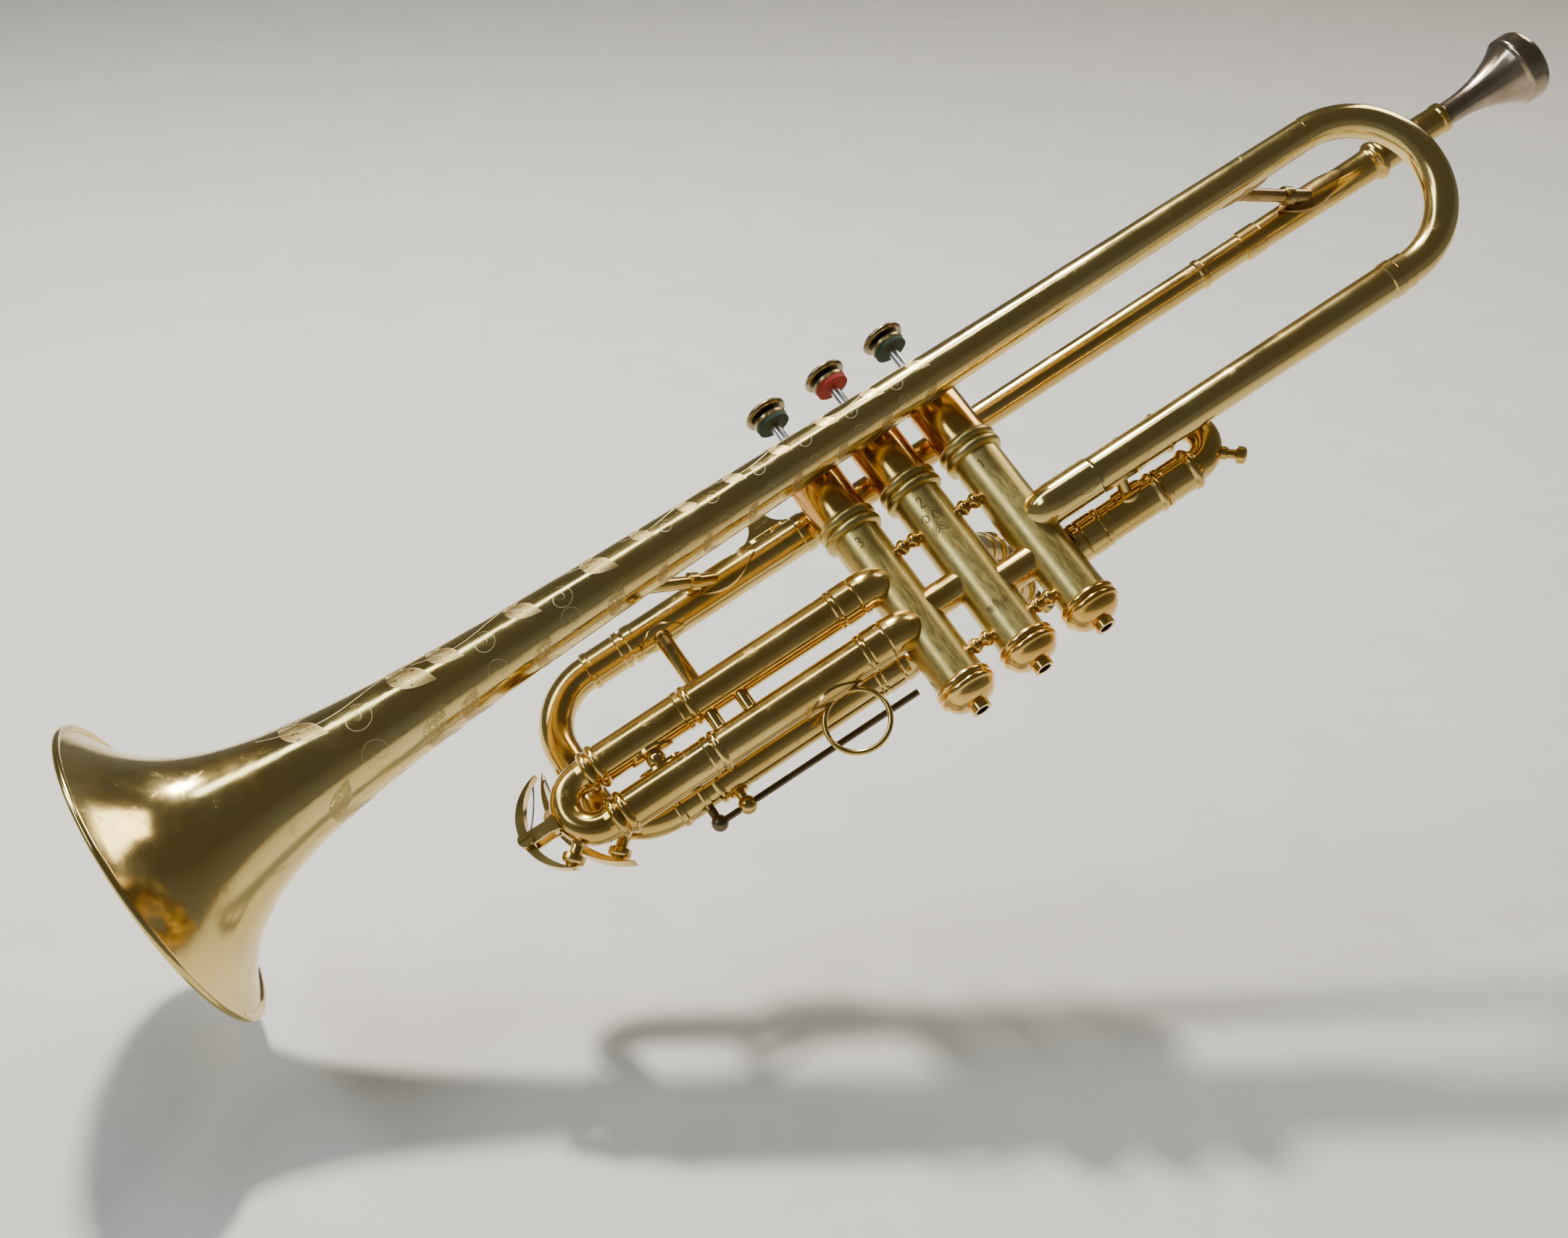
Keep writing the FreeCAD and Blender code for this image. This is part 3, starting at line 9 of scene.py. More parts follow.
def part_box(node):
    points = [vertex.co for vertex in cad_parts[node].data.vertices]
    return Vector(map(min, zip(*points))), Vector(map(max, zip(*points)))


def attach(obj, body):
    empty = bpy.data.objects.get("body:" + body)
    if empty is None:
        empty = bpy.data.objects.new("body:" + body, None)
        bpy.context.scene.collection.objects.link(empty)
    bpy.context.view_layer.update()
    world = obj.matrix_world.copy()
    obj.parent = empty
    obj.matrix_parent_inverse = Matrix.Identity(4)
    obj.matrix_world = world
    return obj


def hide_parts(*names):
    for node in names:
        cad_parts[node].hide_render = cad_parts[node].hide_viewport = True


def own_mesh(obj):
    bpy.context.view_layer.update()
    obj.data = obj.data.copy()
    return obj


# A trumpet over a pale table. The CAD solids wear old plated metals. The engraving, the stamped
# numbers and the springs are pieces of their own.

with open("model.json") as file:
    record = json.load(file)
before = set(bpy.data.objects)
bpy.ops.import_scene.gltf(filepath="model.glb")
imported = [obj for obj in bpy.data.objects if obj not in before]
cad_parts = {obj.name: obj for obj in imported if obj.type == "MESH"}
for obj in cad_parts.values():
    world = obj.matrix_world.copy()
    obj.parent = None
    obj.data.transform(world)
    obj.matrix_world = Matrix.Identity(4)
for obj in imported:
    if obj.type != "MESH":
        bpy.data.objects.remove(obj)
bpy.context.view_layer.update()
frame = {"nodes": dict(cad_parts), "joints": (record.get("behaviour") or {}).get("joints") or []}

MM = 0.001
ALONG = Vector((1, 0, 0))           # from the bell towards the mouthpiece
UP = Vector((0, 0, 1))              # from the bottom caps towards the finger buttons
CAMERA_SIDE = Vector((0, -1, 0))
COLLAR_SHARE = 0.75                 # the double ring's place, as a share of a casing's height

# ---------------------------------------------------------------- the camera
VIEW_AZIMUTH = math.radians(-5.56)
VIEW_ELEVATION = math.radians(-21.75)
VIEW_ROLL = math.radians(-35.29)
VIEW_DISTANCE = 0.70195
VIEW_TARGET = Vector((-0.05489, 0.0, 0.06363))
LENS_MM = 46.46
SENSOR_MM = 36
SHIFT = (-0.0155, -0.0028)
NEAREST_VIEW = 0.01


def view_direction():
    """The way the camera looks, in the trumpet's frame."""
    level = math.cos(VIEW_ELEVATION)
    towards_camera = Vector((
        math.sin(VIEW_AZIMUTH) * level,
        -math.cos(VIEW_AZIMUTH) * level,
        math.sin(VIEW_ELEVATION),
    ))
    return -towards_camera


def make_camera():
    """A camera that looks at the target from the photograph's angle, rolled about its view."""
    forward = view_direction()
    level_right = forward.cross(UP).normalized()
    level_up = level_right.cross(forward)
    right = level_right * math.cos(VIEW_ROLL) + level_up * math.sin(VIEW_ROLL)
    up = level_up * math.cos(VIEW_ROLL) - level_right * math.sin(VIEW_ROLL)
    data = bpy.data.cameras.new("camera")
    data.sensor_width = SENSOR_MM
    data.lens = LENS_MM
    data.shift_x, data.shift_y = SHIFT
    data.clip_start = NEAREST_VIEW
    camera = bpy.data.objects.new("camera", data)
    bpy.context.collection.objects.link(camera)
    turn = Matrix((right, up, -forward)).transposed().to_4x4()
    camera.matrix_world = Matrix.Translation(VIEW_TARGET - forward * VIEW_DISTANCE) @ turn
    bpy.context.scene.camera = camera


# ---------------------------------------------------------------- node helpers
class Nodes:
    """A short way to write a material's or a world's node tree."""

    def __init__(self, tree):
        self.tree = tree
        tree.nodes.clear()

    def add(self, kind, **settings):
        node = self.tree.nodes.new(kind)
        for name, value in settings.items():
            setattr(node, name, value)
        return node

    def link(self, source, target):
        self.tree.links.new(source, target)

    def place(self):
        """The place on the object, in metres."""
        return self.add("ShaderNodeTexCoord").outputs["Object"]

    def stretched(self, scale):
        """The place on the object with each axis scaled by its own factor."""
        mapping = self.add("ShaderNodeMapping")
        mapping.inputs["Scale"].default_value = scale
        self.link(self.place(), mapping.inputs["Vector"])
        return mapping.outputs["Vector"]

    def height(self):
        """How high the place on the object is."""
        split = self.add("ShaderNodeSeparateXYZ")
        self.link(self.place(), split.inputs[0])
        return split.outputs["Z"]

    def noise(self, scale, detail=4.0, rough=0.55, vector=None, distortion=0.0):
        node = self.add("ShaderNodeTexNoise")
        node.inputs["Scale"].default_value = scale
        node.inputs["Detail"].default_value = detail
        node.inputs["Roughness"].default_value = rough
        node.inputs["Distortion"].default_value = distortion
        self.link(vector or self.place(), node.inputs["Vector"])
        return node.outputs["Fac"]

    def ramp(self, value, low, high, low_out=0.0, high_out=1.0):
        """Carries a value from the range low to high over to the range low_out to high_out."""
        node = self.add("ShaderNodeMapRange")
        node.clamp = True
        node.inputs["From Min"].default_value = low
        node.inputs["From Max"].default_value = high
        node.inputs["To Min"].default_value = low_out
        node.inputs["To Max"].default_value = high_out
        self.link(value, node.inputs["Value"])
        return node.outputs["Result"]

    def mix(self, factor, first, second):
        """A colour between two colours, each a tuple or another node's output."""
        node = self.add("ShaderNodeMix", data_type="RGBA")
        self.link(factor, node.inputs["Factor"])
        for value, socket in ((first, node.inputs[6]), (second, node.inputs[7])):
            if isinstance(value, tuple):
                socket.default_value = (*value, 1.0)
            else:
                self.link(value, socket)
        return node.outputs[2]

    def math(self, operation, first, second):
        node = self.add("ShaderNodeMath", operation=operation)
        self.link(first, node.inputs[0])
        self.link(second, node.inputs[1])
        return node.outputs[0]

    def bump(self, height, strength, distance, after=None):
        node = self.add("ShaderNodeBump")
        node.inputs["Strength"].default_value = strength
        node.inputs["Distance"].default_value = distance
        self.link(height, node.inputs["Height"])
        if after:
            self.link(after, node.inputs["Normal"])
        return node.outputs["Normal"]


def new_material(name):
    material = bpy.data.materials.new(name)
    material.use_nodes = True
    nodes = Nodes(material.node_tree)
    output = nodes.add("ShaderNodeOutputMaterial")
    shader = nodes.add("ShaderNodeBsdfPrincipled")
    nodes.link(shader.outputs["BSDF"], output.inputs["Surface"])
    return material, nodes, shader


# ---------------------------------------------------------------- materials
GOLD = (0.76, 0.545, 0.185)
DEEP_GOLD = (0.62, 0.405, 0.105)
PALE_GOLD = (0.70, 0.555, 0.225)
SATIN_GOLD = (0.60, 0.47, 0.17)
DEEP_SATIN_GOLD = (0.50, 0.37, 0.11)
CAP_GOLD = (0.84, 0.55, 0.16)
DEEP_CAP_GOLD = (0.70, 0.40, 0.085)
COPPERY = (0.66, 0.33, 0.10)
BRASS = (0.46, 0.31, 0.11)
DEEP_BRASS = (0.28, 0.17, 0.05)
DULL_BRASS = (0.20, 0.155, 0.085)
DEEP_DULL_BRASS = (0.13, 0.095, 0.05)
BRONZE = (0.36, 0.28, 0.15)
DEEP_BRONZE = (0.16, 0.12, 0.06)
STEEL = (0.80, 0.79, 0.77)
DEEP_STEEL = (0.60, 0.59, 0.57)
WARM_SILVER = (0.46, 0.37, 0.26)
DEEP_WARM_SILVER = (0.25, 0.185, 0.12)
MONEL = (0.62, 0.60, 0.56)
DEEP_MONEL = (0.50, 0.48, 0.45)
WIRE = (0.50, 0.50, 0.52)
DEEP_WIRE = (0.35, 0.34, 0.34)
TARNISH = (0.17, 0.09, 0.03)
RED_TARNISH = (0.34, 0.17, 0.045)
BRASS_TARNISH = (0.07, 0.04, 0.02)
DULL_TARNISH = (0.05, 0.04, 0.025)
SILVER_TARNISH = (0.10, 0.07, 0.05)
MONEL_TARNISH = (0.25, 0.22, 0.2)
WIRE_TARNISH = (0.16, 0.12, 0.1)
ENGRAVED_LINE = (0.86, 0.68, 0.36)
ENGRAVED_GROUND = (0.66, 0.48, 0.18)
STAMPED_LINE = (0.13, 0.08, 0.03)
GREEN_FELT = (0.016, 0.045, 0.024)
RED_FELT = (0.36, 0.012, 0.008)
TABLE = (0.66, 0.65, 0.62)
TABLE_SHADE = (0.62, 0.61, 0.585)

SCRATCH_DEPTH = 0.00006
WAVE_DEPTH = 0.00025
STIPPLE_DEPTH = 0.00008
FIBRE_DEPTH = 0.0004
DIRT_ROUGHNESS = 0.22               # how much rougher metal is where it's stained
FROST_SHADE = 0.55                  # the dark grains of frosted metal, as a share of its colour
FELT_SHADE = 0.35


def metal(name, light, deep, stain, roughness, stained=1.0, waves=1.0):
    """Old plated metal: colour drift, small dark stains, fine scratches and slight waviness."""
    material, nodes, shader = new_material(name)
    drift = nodes.ramp(nodes.noise(38.0, 3.0), 0.35, 0.68)
    cloud = nodes.noise(120.0, 6.0, 0.65, distortion=0.6)
    stains = nodes.ramp(cloud, 0.60, 0.74, 0.0, 0.55 * stained)
    specks = nodes.ramp(nodes.noise(900.0, 2.0), 0.70, 0.80, 0.0, 0.6 * stained)
    dirt = nodes.math("MAXIMUM", stains, specks)
    colour = nodes.mix(dirt, nodes.mix(drift, light, deep), stain)
    nodes.link(colour, shader.inputs["Base Color"])
    shader.inputs["Metallic"].default_value = 1.0
    haze = nodes.ramp(nodes.noise(60.0, 5.0, 0.6), 0.3, 0.75, roughness * 0.75, roughness * 1.6)
    rough = nodes.math("ADD", haze, nodes.ramp(dirt, 0.0, 0.5, 0.0, DIRT_ROUGHNESS))
    nodes.link(rough, shader.inputs["Roughness"])
    hair = nodes.noise(260.0, 2.0, vector=nodes.stretched((1.0, 9.0, 9.0)))
    cross = nodes.noise(240.0, 2.0, vector=nodes.stretched((8.0, 1.5, 8.0)))
    scratches = nodes.bump(nodes.math("ADD", hair, cross), 0.10, SCRATCH_DEPTH)
    wavy = nodes.bump(nodes.noise(70.0, 2.0), 0.25 * waves, WAVE_DEPTH, scratches)
    nodes.link(wavy, shader.inputs["Normal"])
    return material


def collar_height(number):
    """How high the double ring stands on a casing."""
    low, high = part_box("casing_%d" % number)
    return low[2] + (high[2] - low[2]) * COLLAR_SHARE


def casing_metal(name):
    """Satin gold below the collar, coppery and more polished above it."""
    material, nodes, shader = new_material(name)
    drift = nodes.ramp(nodes.noise(60.0, 4.0), 0.35, 0.68)
    satin = nodes.mix(drift, SATIN_GOLD, DEEP_SATIN_GOLD)
    warm = nodes.mix(drift, COPPERY, DEEP_GOLD)
    collar = collar_height(2)
    above = nodes.ramp(nodes.height(), collar - MM, collar + MM)
    specks = nodes.ramp(nodes.noise(700.0, 3.0), 0.72, 0.84, 0.0, 0.35)
    colour = nodes.mix(specks, nodes.mix(above, satin, warm), TARNISH)
    nodes.link(colour, shader.inputs["Base Color"])
    shader.inputs["Metallic"].default_value = 1.0
    grain = nodes.noise(420.0, 4.0, vector=nodes.stretched((3.0, 3.0, 0.6)))
    satin_rough = nodes.ramp(grain, 0.3, 0.7, 0.27, 0.40)
    rough = nodes.math("MULTIPLY", satin_rough, nodes.ramp(above, 0.0, 1.0, 1.0, 0.5))
    nodes.link(rough, shader.inputs["Roughness"])
    nodes.link(nodes.bump(grain, 0.25, SCRATCH_DEPTH), shader.inputs["Normal"])
    return material


def button_metal(name):
    """Dark bronze above the felt, for the discs, and bright steel below its top, for the stem."""
    material, nodes, shader = new_material(name)
    worn = nodes.ramp(nodes.noise(160.0, 5.0), 0.35, 0.7)
    bronze = nodes.mix(worn, BRONZE, DEEP_BRONZE)
    steel = nodes.mix(worn, STEEL, DEEP_STEEL)
    felt_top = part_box("button_felt_2")[1][2]
    above = nodes.ramp(nodes.height(), felt_top - 0.2 * MM, felt_top)
    nodes.link(nodes.mix(above, steel, bronze), shader.inputs["Base Color"])
    shader.inputs["Metallic"].default_value = 1.0
    nodes.link(nodes.ramp(worn, 0.0, 1.0, 0.20, 0.38), shader.inputs["Roughness"])
    nodes.link(nodes.bump(nodes.noise(900.0, 3.0), 0.15, STIPPLE_DEPTH), shader.inputs["Normal"])
    return material


def frosted(name, colour, roughness):
    """The matte, stippled look of engraved lines and of the ground between them."""
    material, nodes, shader = new_material(name)
    grain = nodes.noise(1500.0, 3.0)
    dark = tuple(part * FROST_SHADE for part in colour)
    nodes.link(nodes.mix(nodes.ramp(grain, 0.3, 0.7), colour, dark), shader.inputs["Base Color"])
    shader.inputs["Metallic"].default_value = 1.0
    rough = nodes.ramp(grain, 0.2, 0.8, roughness, roughness * 1.7)
    nodes.link(rough, shader.inputs["Roughness"])
    nodes.link(nodes.bump(grain, 0.5, STIPPLE_DEPTH), shader.inputs["Normal"])
    return material


def felt(name, colour):
    """Cut felt: dark between its fibres and rough all over."""
    material, nodes, shader = new_material(name)
    fibres = nodes.noise(1800.0, 6.0, 0.7)
    dark = tuple(part * FELT_SHADE for part in colour)
    nodes.link(nodes.mix(nodes.ramp(fibres, 0.3, 0.7), dark, colour), shader.inputs["Base Color"])
    shader.inputs["Roughness"].default_value = 0.95
    shader.inputs["Sheen Weight"].default_value = 0.08
    nodes.link(nodes.bump(fibres, 0.8, FIBRE_DEPTH), shader.inputs["Normal"])
    return material


def make_materials():
    return {
        "gold": metal("gold_plate", GOLD, DEEP_GOLD, TARNISH, 0.14),
        "bell_gold": metal("bell_gold", GOLD, PALE_GOLD, RED_TARNISH, 0.125, stained=0.7, waves=0.6),
        "casing": casing_metal("casing_gold"),
        "cap_gold": metal("cap_gold", CAP_GOLD, DEEP_CAP_GOLD, TARNISH, 0.13, stained=0.8, waves=0.4),
        "bronze": button_metal("dark_bronze"),
        "worn": metal("worn_brass", BRASS, DEEP_BRASS, BRASS_TARNISH, 0.22, stained=1.3, waves=0.8),
        "rod": metal("rod_brass", DULL_BRASS, DEEP_DULL_BRASS, DULL_TARNISH, 0.26, waves=0.5),
        "silver": metal("worn_silver", WARM_SILVER, DEEP_WARM_SILVER, SILVER_TARNISH, 0.17, waves=0.5),
        "monel": metal("piston_monel", MONEL, DEEP_MONEL, MONEL_TARNISH, 0.22, stained=0.6, waves=0.2),
        "spring": metal("spring_wire", WIRE, DEEP_WIRE, WIRE_TARNISH, 0.25, stained=0.6, waves=0.2),
        "engraved": frosted("engraved_gold", ENGRAVED_LINE, 0.35),
        "ground": frosted("engraved_ground", ENGRAVED_GROUND, 0.24),
        "stamped": frosted("stamped_lines", STAMPED_LINE, 0.4),
        "green_felt": felt("green_felt", GREEN_FELT),
        "red_felt": felt("red_felt", RED_FELT),
    }


# The first row whose start fits a node's name says which material the node wears.
FINISHES = (
    ("bell", "bell_gold"),
    ("top_cap", "cap_gold"),
    ("casing_braces", "cap_gold"),
    ("casing", "casing"),
    ("bottom_cap", "cap_gold"),
    ("finger_button", "bronze"),
    ("button_felt_2", "red_felt"),
    ("button_felt", "green_felt"),
    ("piston", "monel"),
    ("valve_spring", "spring"),
    ("mouthpiece", "silver"),
    ("stop_rod", "rod"),
    ("rear_brace", "worn"),
)


def finish_for(node_name):
    for start, finish in FINISHES:
        if node_name.startswith(start):
            return finish
    return "gold"


def dress_nodes(materials):
    for name, node in frame["nodes"].items():
        node.data.materials.clear()
        node.data.materials.append(materials[finish_for(name)])


# ---------------------------------------------------------------- stage and light
STAGE_UP = Vector((0.4711, -0.7548, 0.4564)).normalized()    # upwards from the table
TABLE_HEIGHT = -0.1428
TABLE_HALF_WIDTH = 6.0
LIT_PLACE = Vector((0.0, 0.0, 0.08))
KEY_PLACE = Vector((0.407, -0.554, 1.269))
FRONT_STEP = Vector((-0.15, -0.85, 0.95))
WARM_LIGHT = (1.0, 0.95, 0.86)
WARMER_LIGHT = (1.0, 0.93, 0.82)
COOL_LIGHT = (0.80, 0.92, 1.0)
PALE_COOL_LIGHT = (0.84, 0.93, 1.0)
OVERHEAD = (0.095, 0.090, 0.076)
HORIZON = (0.20, 0.21, 0.215)


def table_material():
    """Pale from above and clear from below, so that the table blocks no view from underneath."""
    material, nodes, shader = new_material("pale_table")
    speck = nodes.ramp(nodes.noise(30.0, 4.0), 0.3, 0.7)
    nodes.link(nodes.mix(speck, TABLE, TABLE_SHADE), shader.inputs["Base Color"])
    shader.inputs["Roughness"].default_value = 0.55
    clear = nodes.add("ShaderNodeBsdfTransparent")
    side = nodes.add("ShaderNodeNewGeometry").outputs["Backfacing"]
    blend = nodes.add("ShaderNodeMixShader")
    nodes.link(side, blend.inputs[0])
    nodes.link(shader.outputs["BSDF"], blend.inputs[1])
    nodes.link(clear.outputs["BSDF"], blend.inputs[2])
    output = [node for node in nodes.tree.nodes if node.type == "OUTPUT_MATERIAL"][0]
    nodes.link(blend.outputs["Shader"], output.inputs["Surface"])
    return material


def make_floor():
    """A wide table top under the instrument."""
    mesh = bpy.data.meshes.new("table_top")
    across = STAGE_UP.orthogonal().normalized() * TABLE_HALF_WIDTH
    deep = STAGE_UP.cross(across)
    middle = VIEW_TARGET + STAGE_UP * (TABLE_HEIGHT - VIEW_TARGET.dot(STAGE_UP))
    corners = [middle + across * a + deep * b for a, b in ((-1, -1), (1, -1), (1, 1), (-1, 1))]
    mesh.from_pydata(corners, [], [(0, 1, 2, 3)])
    mesh.materials.append(table_material())
    floor = bpy.data.objects.new("table_top", mesh)
    bpy.context.collection.objects.link(floor)


def area_light(name, place, size, power, colour):
    """A rectangular light that faces the middle of the trumpet."""
    data = bpy.data.lights.new(name, "AREA")
    data.shape = "RECTANGLE"
    data.size, data.size_y = size
    data.energy = power
    data.color = colour
    light = bpy.data.objects.new(name, data)
    bpy.context.collection.objects.link(light)
    light.location = place
    light.rotation_mode = "QUATERNION"
    light.rotation_quaternion = (LIT_PLACE - place).to_track_quat("-Z", "Y")


def around(forward, right, up):
    """A place so many metres along the view, to the right of it, and up from the table."""
    ahead = view_direction()
    sideways = ahead.cross(STAGE_UP).normalized()
    return LIT_PLACE + ahead * forward + sideways * right + STAGE_UP * up


def make_lights():
    """A small key light that casts the shadow, and three soft ones."""
    area_light("key", KEY_PLACE, (0.12, 0.12), power=34.0, colour=WARM_LIGHT)
    area_light("soft_left", around(-0.55, -1.25, 0.75), (0.35, 1.1), power=8.0, colour=COOL_LIGHT)
    area_light("soft_front", LIT_PLACE + FRONT_STEP, (1.3, 0.22), power=7.0, colour=PALE_COOL_LIGHT)
    area_light("soft_far", around(1.6, 0.9, 2.2), (1.4, 0.7), power=22.0, colour=WARMER_LIGHT)


def make_world():
    """A plain studio: dark overhead, mid grey towards the table's horizon."""
    world = bpy.data.worlds.new("studio")
    bpy.context.scene.world = world
    world.use_nodes = True
    nodes = Nodes(world.node_tree)
    output = nodes.add("ShaderNodeOutputWorld")
    background = nodes.add("ShaderNodeBackground")
    direction = nodes.add("ShaderNodeTexCoord").outputs["Generated"]
    rise = nodes.add("ShaderNodeVectorMath", operation="DOT_PRODUCT")
    rise.inputs[1].default_value = STAGE_UP
    nodes.link(direction, rise.inputs[0])
    share = nodes.ramp(rise.outputs["Value"], -0.05, 0.55)
    nodes.link(nodes.mix(share, HORIZON, OVERHEAD), background.inputs["Color"])
    background.inputs["Strength"].default_value = 1.0
    nodes.link(background.outputs["Background"], output.inputs["Surface"])


# ---------------------------------------------------------------- drawing on surfaces
RAY_START = 0.09                    # outside every tube and the bell's mouth
USUAL_GIRTH = 10.0 * MM
ENGRAVED_LIFT = 0.08 * MM
LINE_SINK = 1.6                     # from a line's crest down to its edges, in lifts
LINE_TIP = 0.12                     # the least width of a tapered line, as a share of its middle
GROUND_LIFT = 0.4                   # how high the ground lies, in lifts of the lines on it
PATCH_STEPS = 4                     # faces across a filled patch
SCROLL_STEPS = 26                   # for each turn of a scroll
SCROLL_TURNS = 1.6
SCROLL_EASE = 0.8                   # below 1, a scroll stays wide before it closes
LEAF_STEPS = 12
LEAF_EASE = 0.8                     # below 1, a leaf is widest nearer its root
STEM_STEPS = 60
HATCHES = 9
HATCH_SLANT = 0.75
LEAF_SHAPE = 0.46                   # a vine leaf's width, as a share of its length
VINE_LEAVES = ((0.7, 1.3), (-0.75, 1.1))    # the heading and the length of each leaf in a pair


def box_middle(node):
    low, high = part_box(node)
    return (Vector(low) + Vector(high)) / 2


class Wrap:
    """Turns flat drawing places (along a tube, round it) into places on a node's real surface."""

    def __init__(self, node, centre, direction, zero):
        mesh = frame["nodes"][node].data
        corners = [vertex.co.copy() for vertex in mesh.vertices]
        faces = [tuple(polygon.vertices) for polygon in mesh.polygons]
        self.tree = BVHTree.FromPolygons(corners, faces)
        self.centre = centre
        self.direction = direction
        self.zero = zero
        self.side = direction.cross(zero)

    def at(self, along, turn, lift=0.0):
        """The surface place that far along and round, or None where there's no surface."""
        origin = self.on_axis(along)
        outward = self.zero * math.cos(turn) + self.side * math.sin(turn)
        hit = self.tree.ray_cast(origin + outward * RAY_START, -outward)[0]
        if hit is None:
            return None
        return hit + outward * lift

    def on_axis(self, along):
        return self.centre + self.direction * along

    def girth_at(self, along):
        """The tube's radius that far along it, or a usual tube's where there's no surface."""
        place = self.at(along, 0.0)
        if place is None:
            return USUAL_GIRTH
        return (place - self.on_axis(along)).length


def tube_wrap(node, zero):
    """A wrap round a tube or bell that runs along X, measured from X = 0."""
    centre = box_middle(node)
    centre.x = 0.0
    return Wrap(node, centre, ALONG, zero)


def casing_wrap(number):
    """A wrap round a valve casing, measured from Z = 0."""
    node = "casing_%d" % number
    centre = box_middle(node)
    centre.z = 0.0
    return Wrap(node, centre, UP, CAMERA_SIDE)


class Drawing:
    """Collects thin shapes on a wrapped surface into one mesh."""

    def __init__(self, wrap, lift):
        self.wrap = wrap
        self.lift = lift
        self.vertices = []
        self.faces = []

    def add_grid(self, rows):
        """Faces between neighbouring rows, which all have the same number of places."""
        start = len(self.vertices)
        wide = len(rows[0])
        for row in rows:
            self.vertices.extend(row)
        for number in range(len(rows) - 1):
            for step in range(wide - 1):
                first = start + number * wide + step
                self.faces.append(self.face(first, wide))

    def finish(self, name, material, body, slot):
        mesh = bpy.data.meshes.new(name)
        mesh.from_pydata(self.vertices, [], self.faces)
        mesh.materials.append(material)
        mesh.update()
        for polygon in mesh.polygons:
            polygon.use_smooth = True
        piece = bpy.data.objects.new(name, mesh)
        bpy.context.collection.objects.link(piece)
        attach(piece, body)


class Lines(Drawing):
    """Fine raised lines, each a low ridge."""

    def face(self, first, wide):
        return (first, first + 1, first + wide + 1, first + wide)

    def draw(self, points, width, taper=True):
        """One line through (along, turn) points; it thins out at both ends when tapered."""
        places = [self.wrap.at(along, turn, self.lift) for along, turn in points]
        places = [place for place in places if place is not None]
        if len(places) < 3:
            return
        last = len(places) - 1
        rows = []
        for number, place in enumerate(places):
            run = (places[min(number + 1, last)] - places[max(number - 1, 0)]).normalized()
            along = (place - self.wrap.centre).dot(self.wrap.direction)
            outward = (place - self.wrap.on_axis(along)).normalized()
            sideways = run.cross(outward).normalized()
            half = width / 2
            if taper:
                half *= max(math.sin(math.pi * number / last), LINE_TIP)
            edge = place - outward * (self.lift * LINE_SINK)
            rows.append((edge - sideways * half, place, edge + sideways * half))
        self.add_grid(rows)


class Ground(Drawing):
    """Filled patches: the stippled ground that an engraver leaves inside an outline."""

    def face(self, first, wide):
        return (first, first + wide, first + wide + 1, first + 1)

    def fill(self, left, right):
        """A patch between two rows of places that start and end together."""
        rows = []
        for one, other in zip(left, right):
            row = []
            for step in range(PATCH_STEPS + 1):
                share = step / PATCH_STEPS
                along = one[0] + (other[0] - one[0]) * share
                turn = one[1] + (other[1] - one[1]) * share
                row.append(self.wrap.at(along, turn, self.lift))
            if None in row:
                return
            rows.append(row)
        self.add_grid(rows)


# In what follows a girth is the tube's radius, which turns a length round the tube into an angle.
def scroll_points(centre, radius, start, girth):
    """A scroll that winds in towards its centre."""
    count = int(SCROLL_STEPS * SCROLL_TURNS)
    points = []
    for number in range(count + 1):
        share = number / count
        angle = start + SCROLL_TURNS * math.tau * share
        reach = radius * (1 - share) ** SCROLL_EASE
        points.append((centre[0] + math.cos(angle) * reach, centre[1] + math.sin(angle) * reach / girth))
    return points


def leaf_bulge(share):
    """How wide a leaf is at a share of its length, where 1 is its widest."""
    return math.sin(math.pi * share ** LEAF_EASE)


def leaf_points(root, heading, length, bow, girth):
    """One side of a leaf from its root to its tip; the sign of bow says which side."""
    points = []
    for number in range(LEAF_STEPS + 1):
        share = number / LEAF_STEPS
        along = length * share
        across = bow * leaf_bulge(share)
        x = math.cos(heading) * along - math.sin(heading) * across
        y = math.sin(heading) * along + math.cos(heading) * across
        points.append((root[0] + x, root[1] + y / girth))
    return points


def draw_leaf(lines, root, heading, length, width, girth, line):
    """A leaf: two sides, a midrib and slanting hatching."""
    for side in (-1, 1):
        lines.draw(leaf_points(root, heading, length, width * side / 2, girth), line)
    lines.draw(leaf_points(root, heading, length * 0.9, 0.0, girth), line * 0.7)
    for number in range(2, HATCHES - 1):
        share = number / HATCHES
        reach = width * 0.42 * leaf_bulge(share)
        x = root[0] + math.cos(heading) * length * share
        y = root[1] + math.sin(heading) * length * share / girth
        for side in (-1, 1):
            slant = heading + side * HATCH_SLANT
            end = (x + math.cos(slant) * reach, y + math.sin(slant) * reach / girth)
            middle = ((x + end[0]) / 2, (y + end[1]) / 2)
            lines.draw([(x, y), middle, end], line * 0.6)


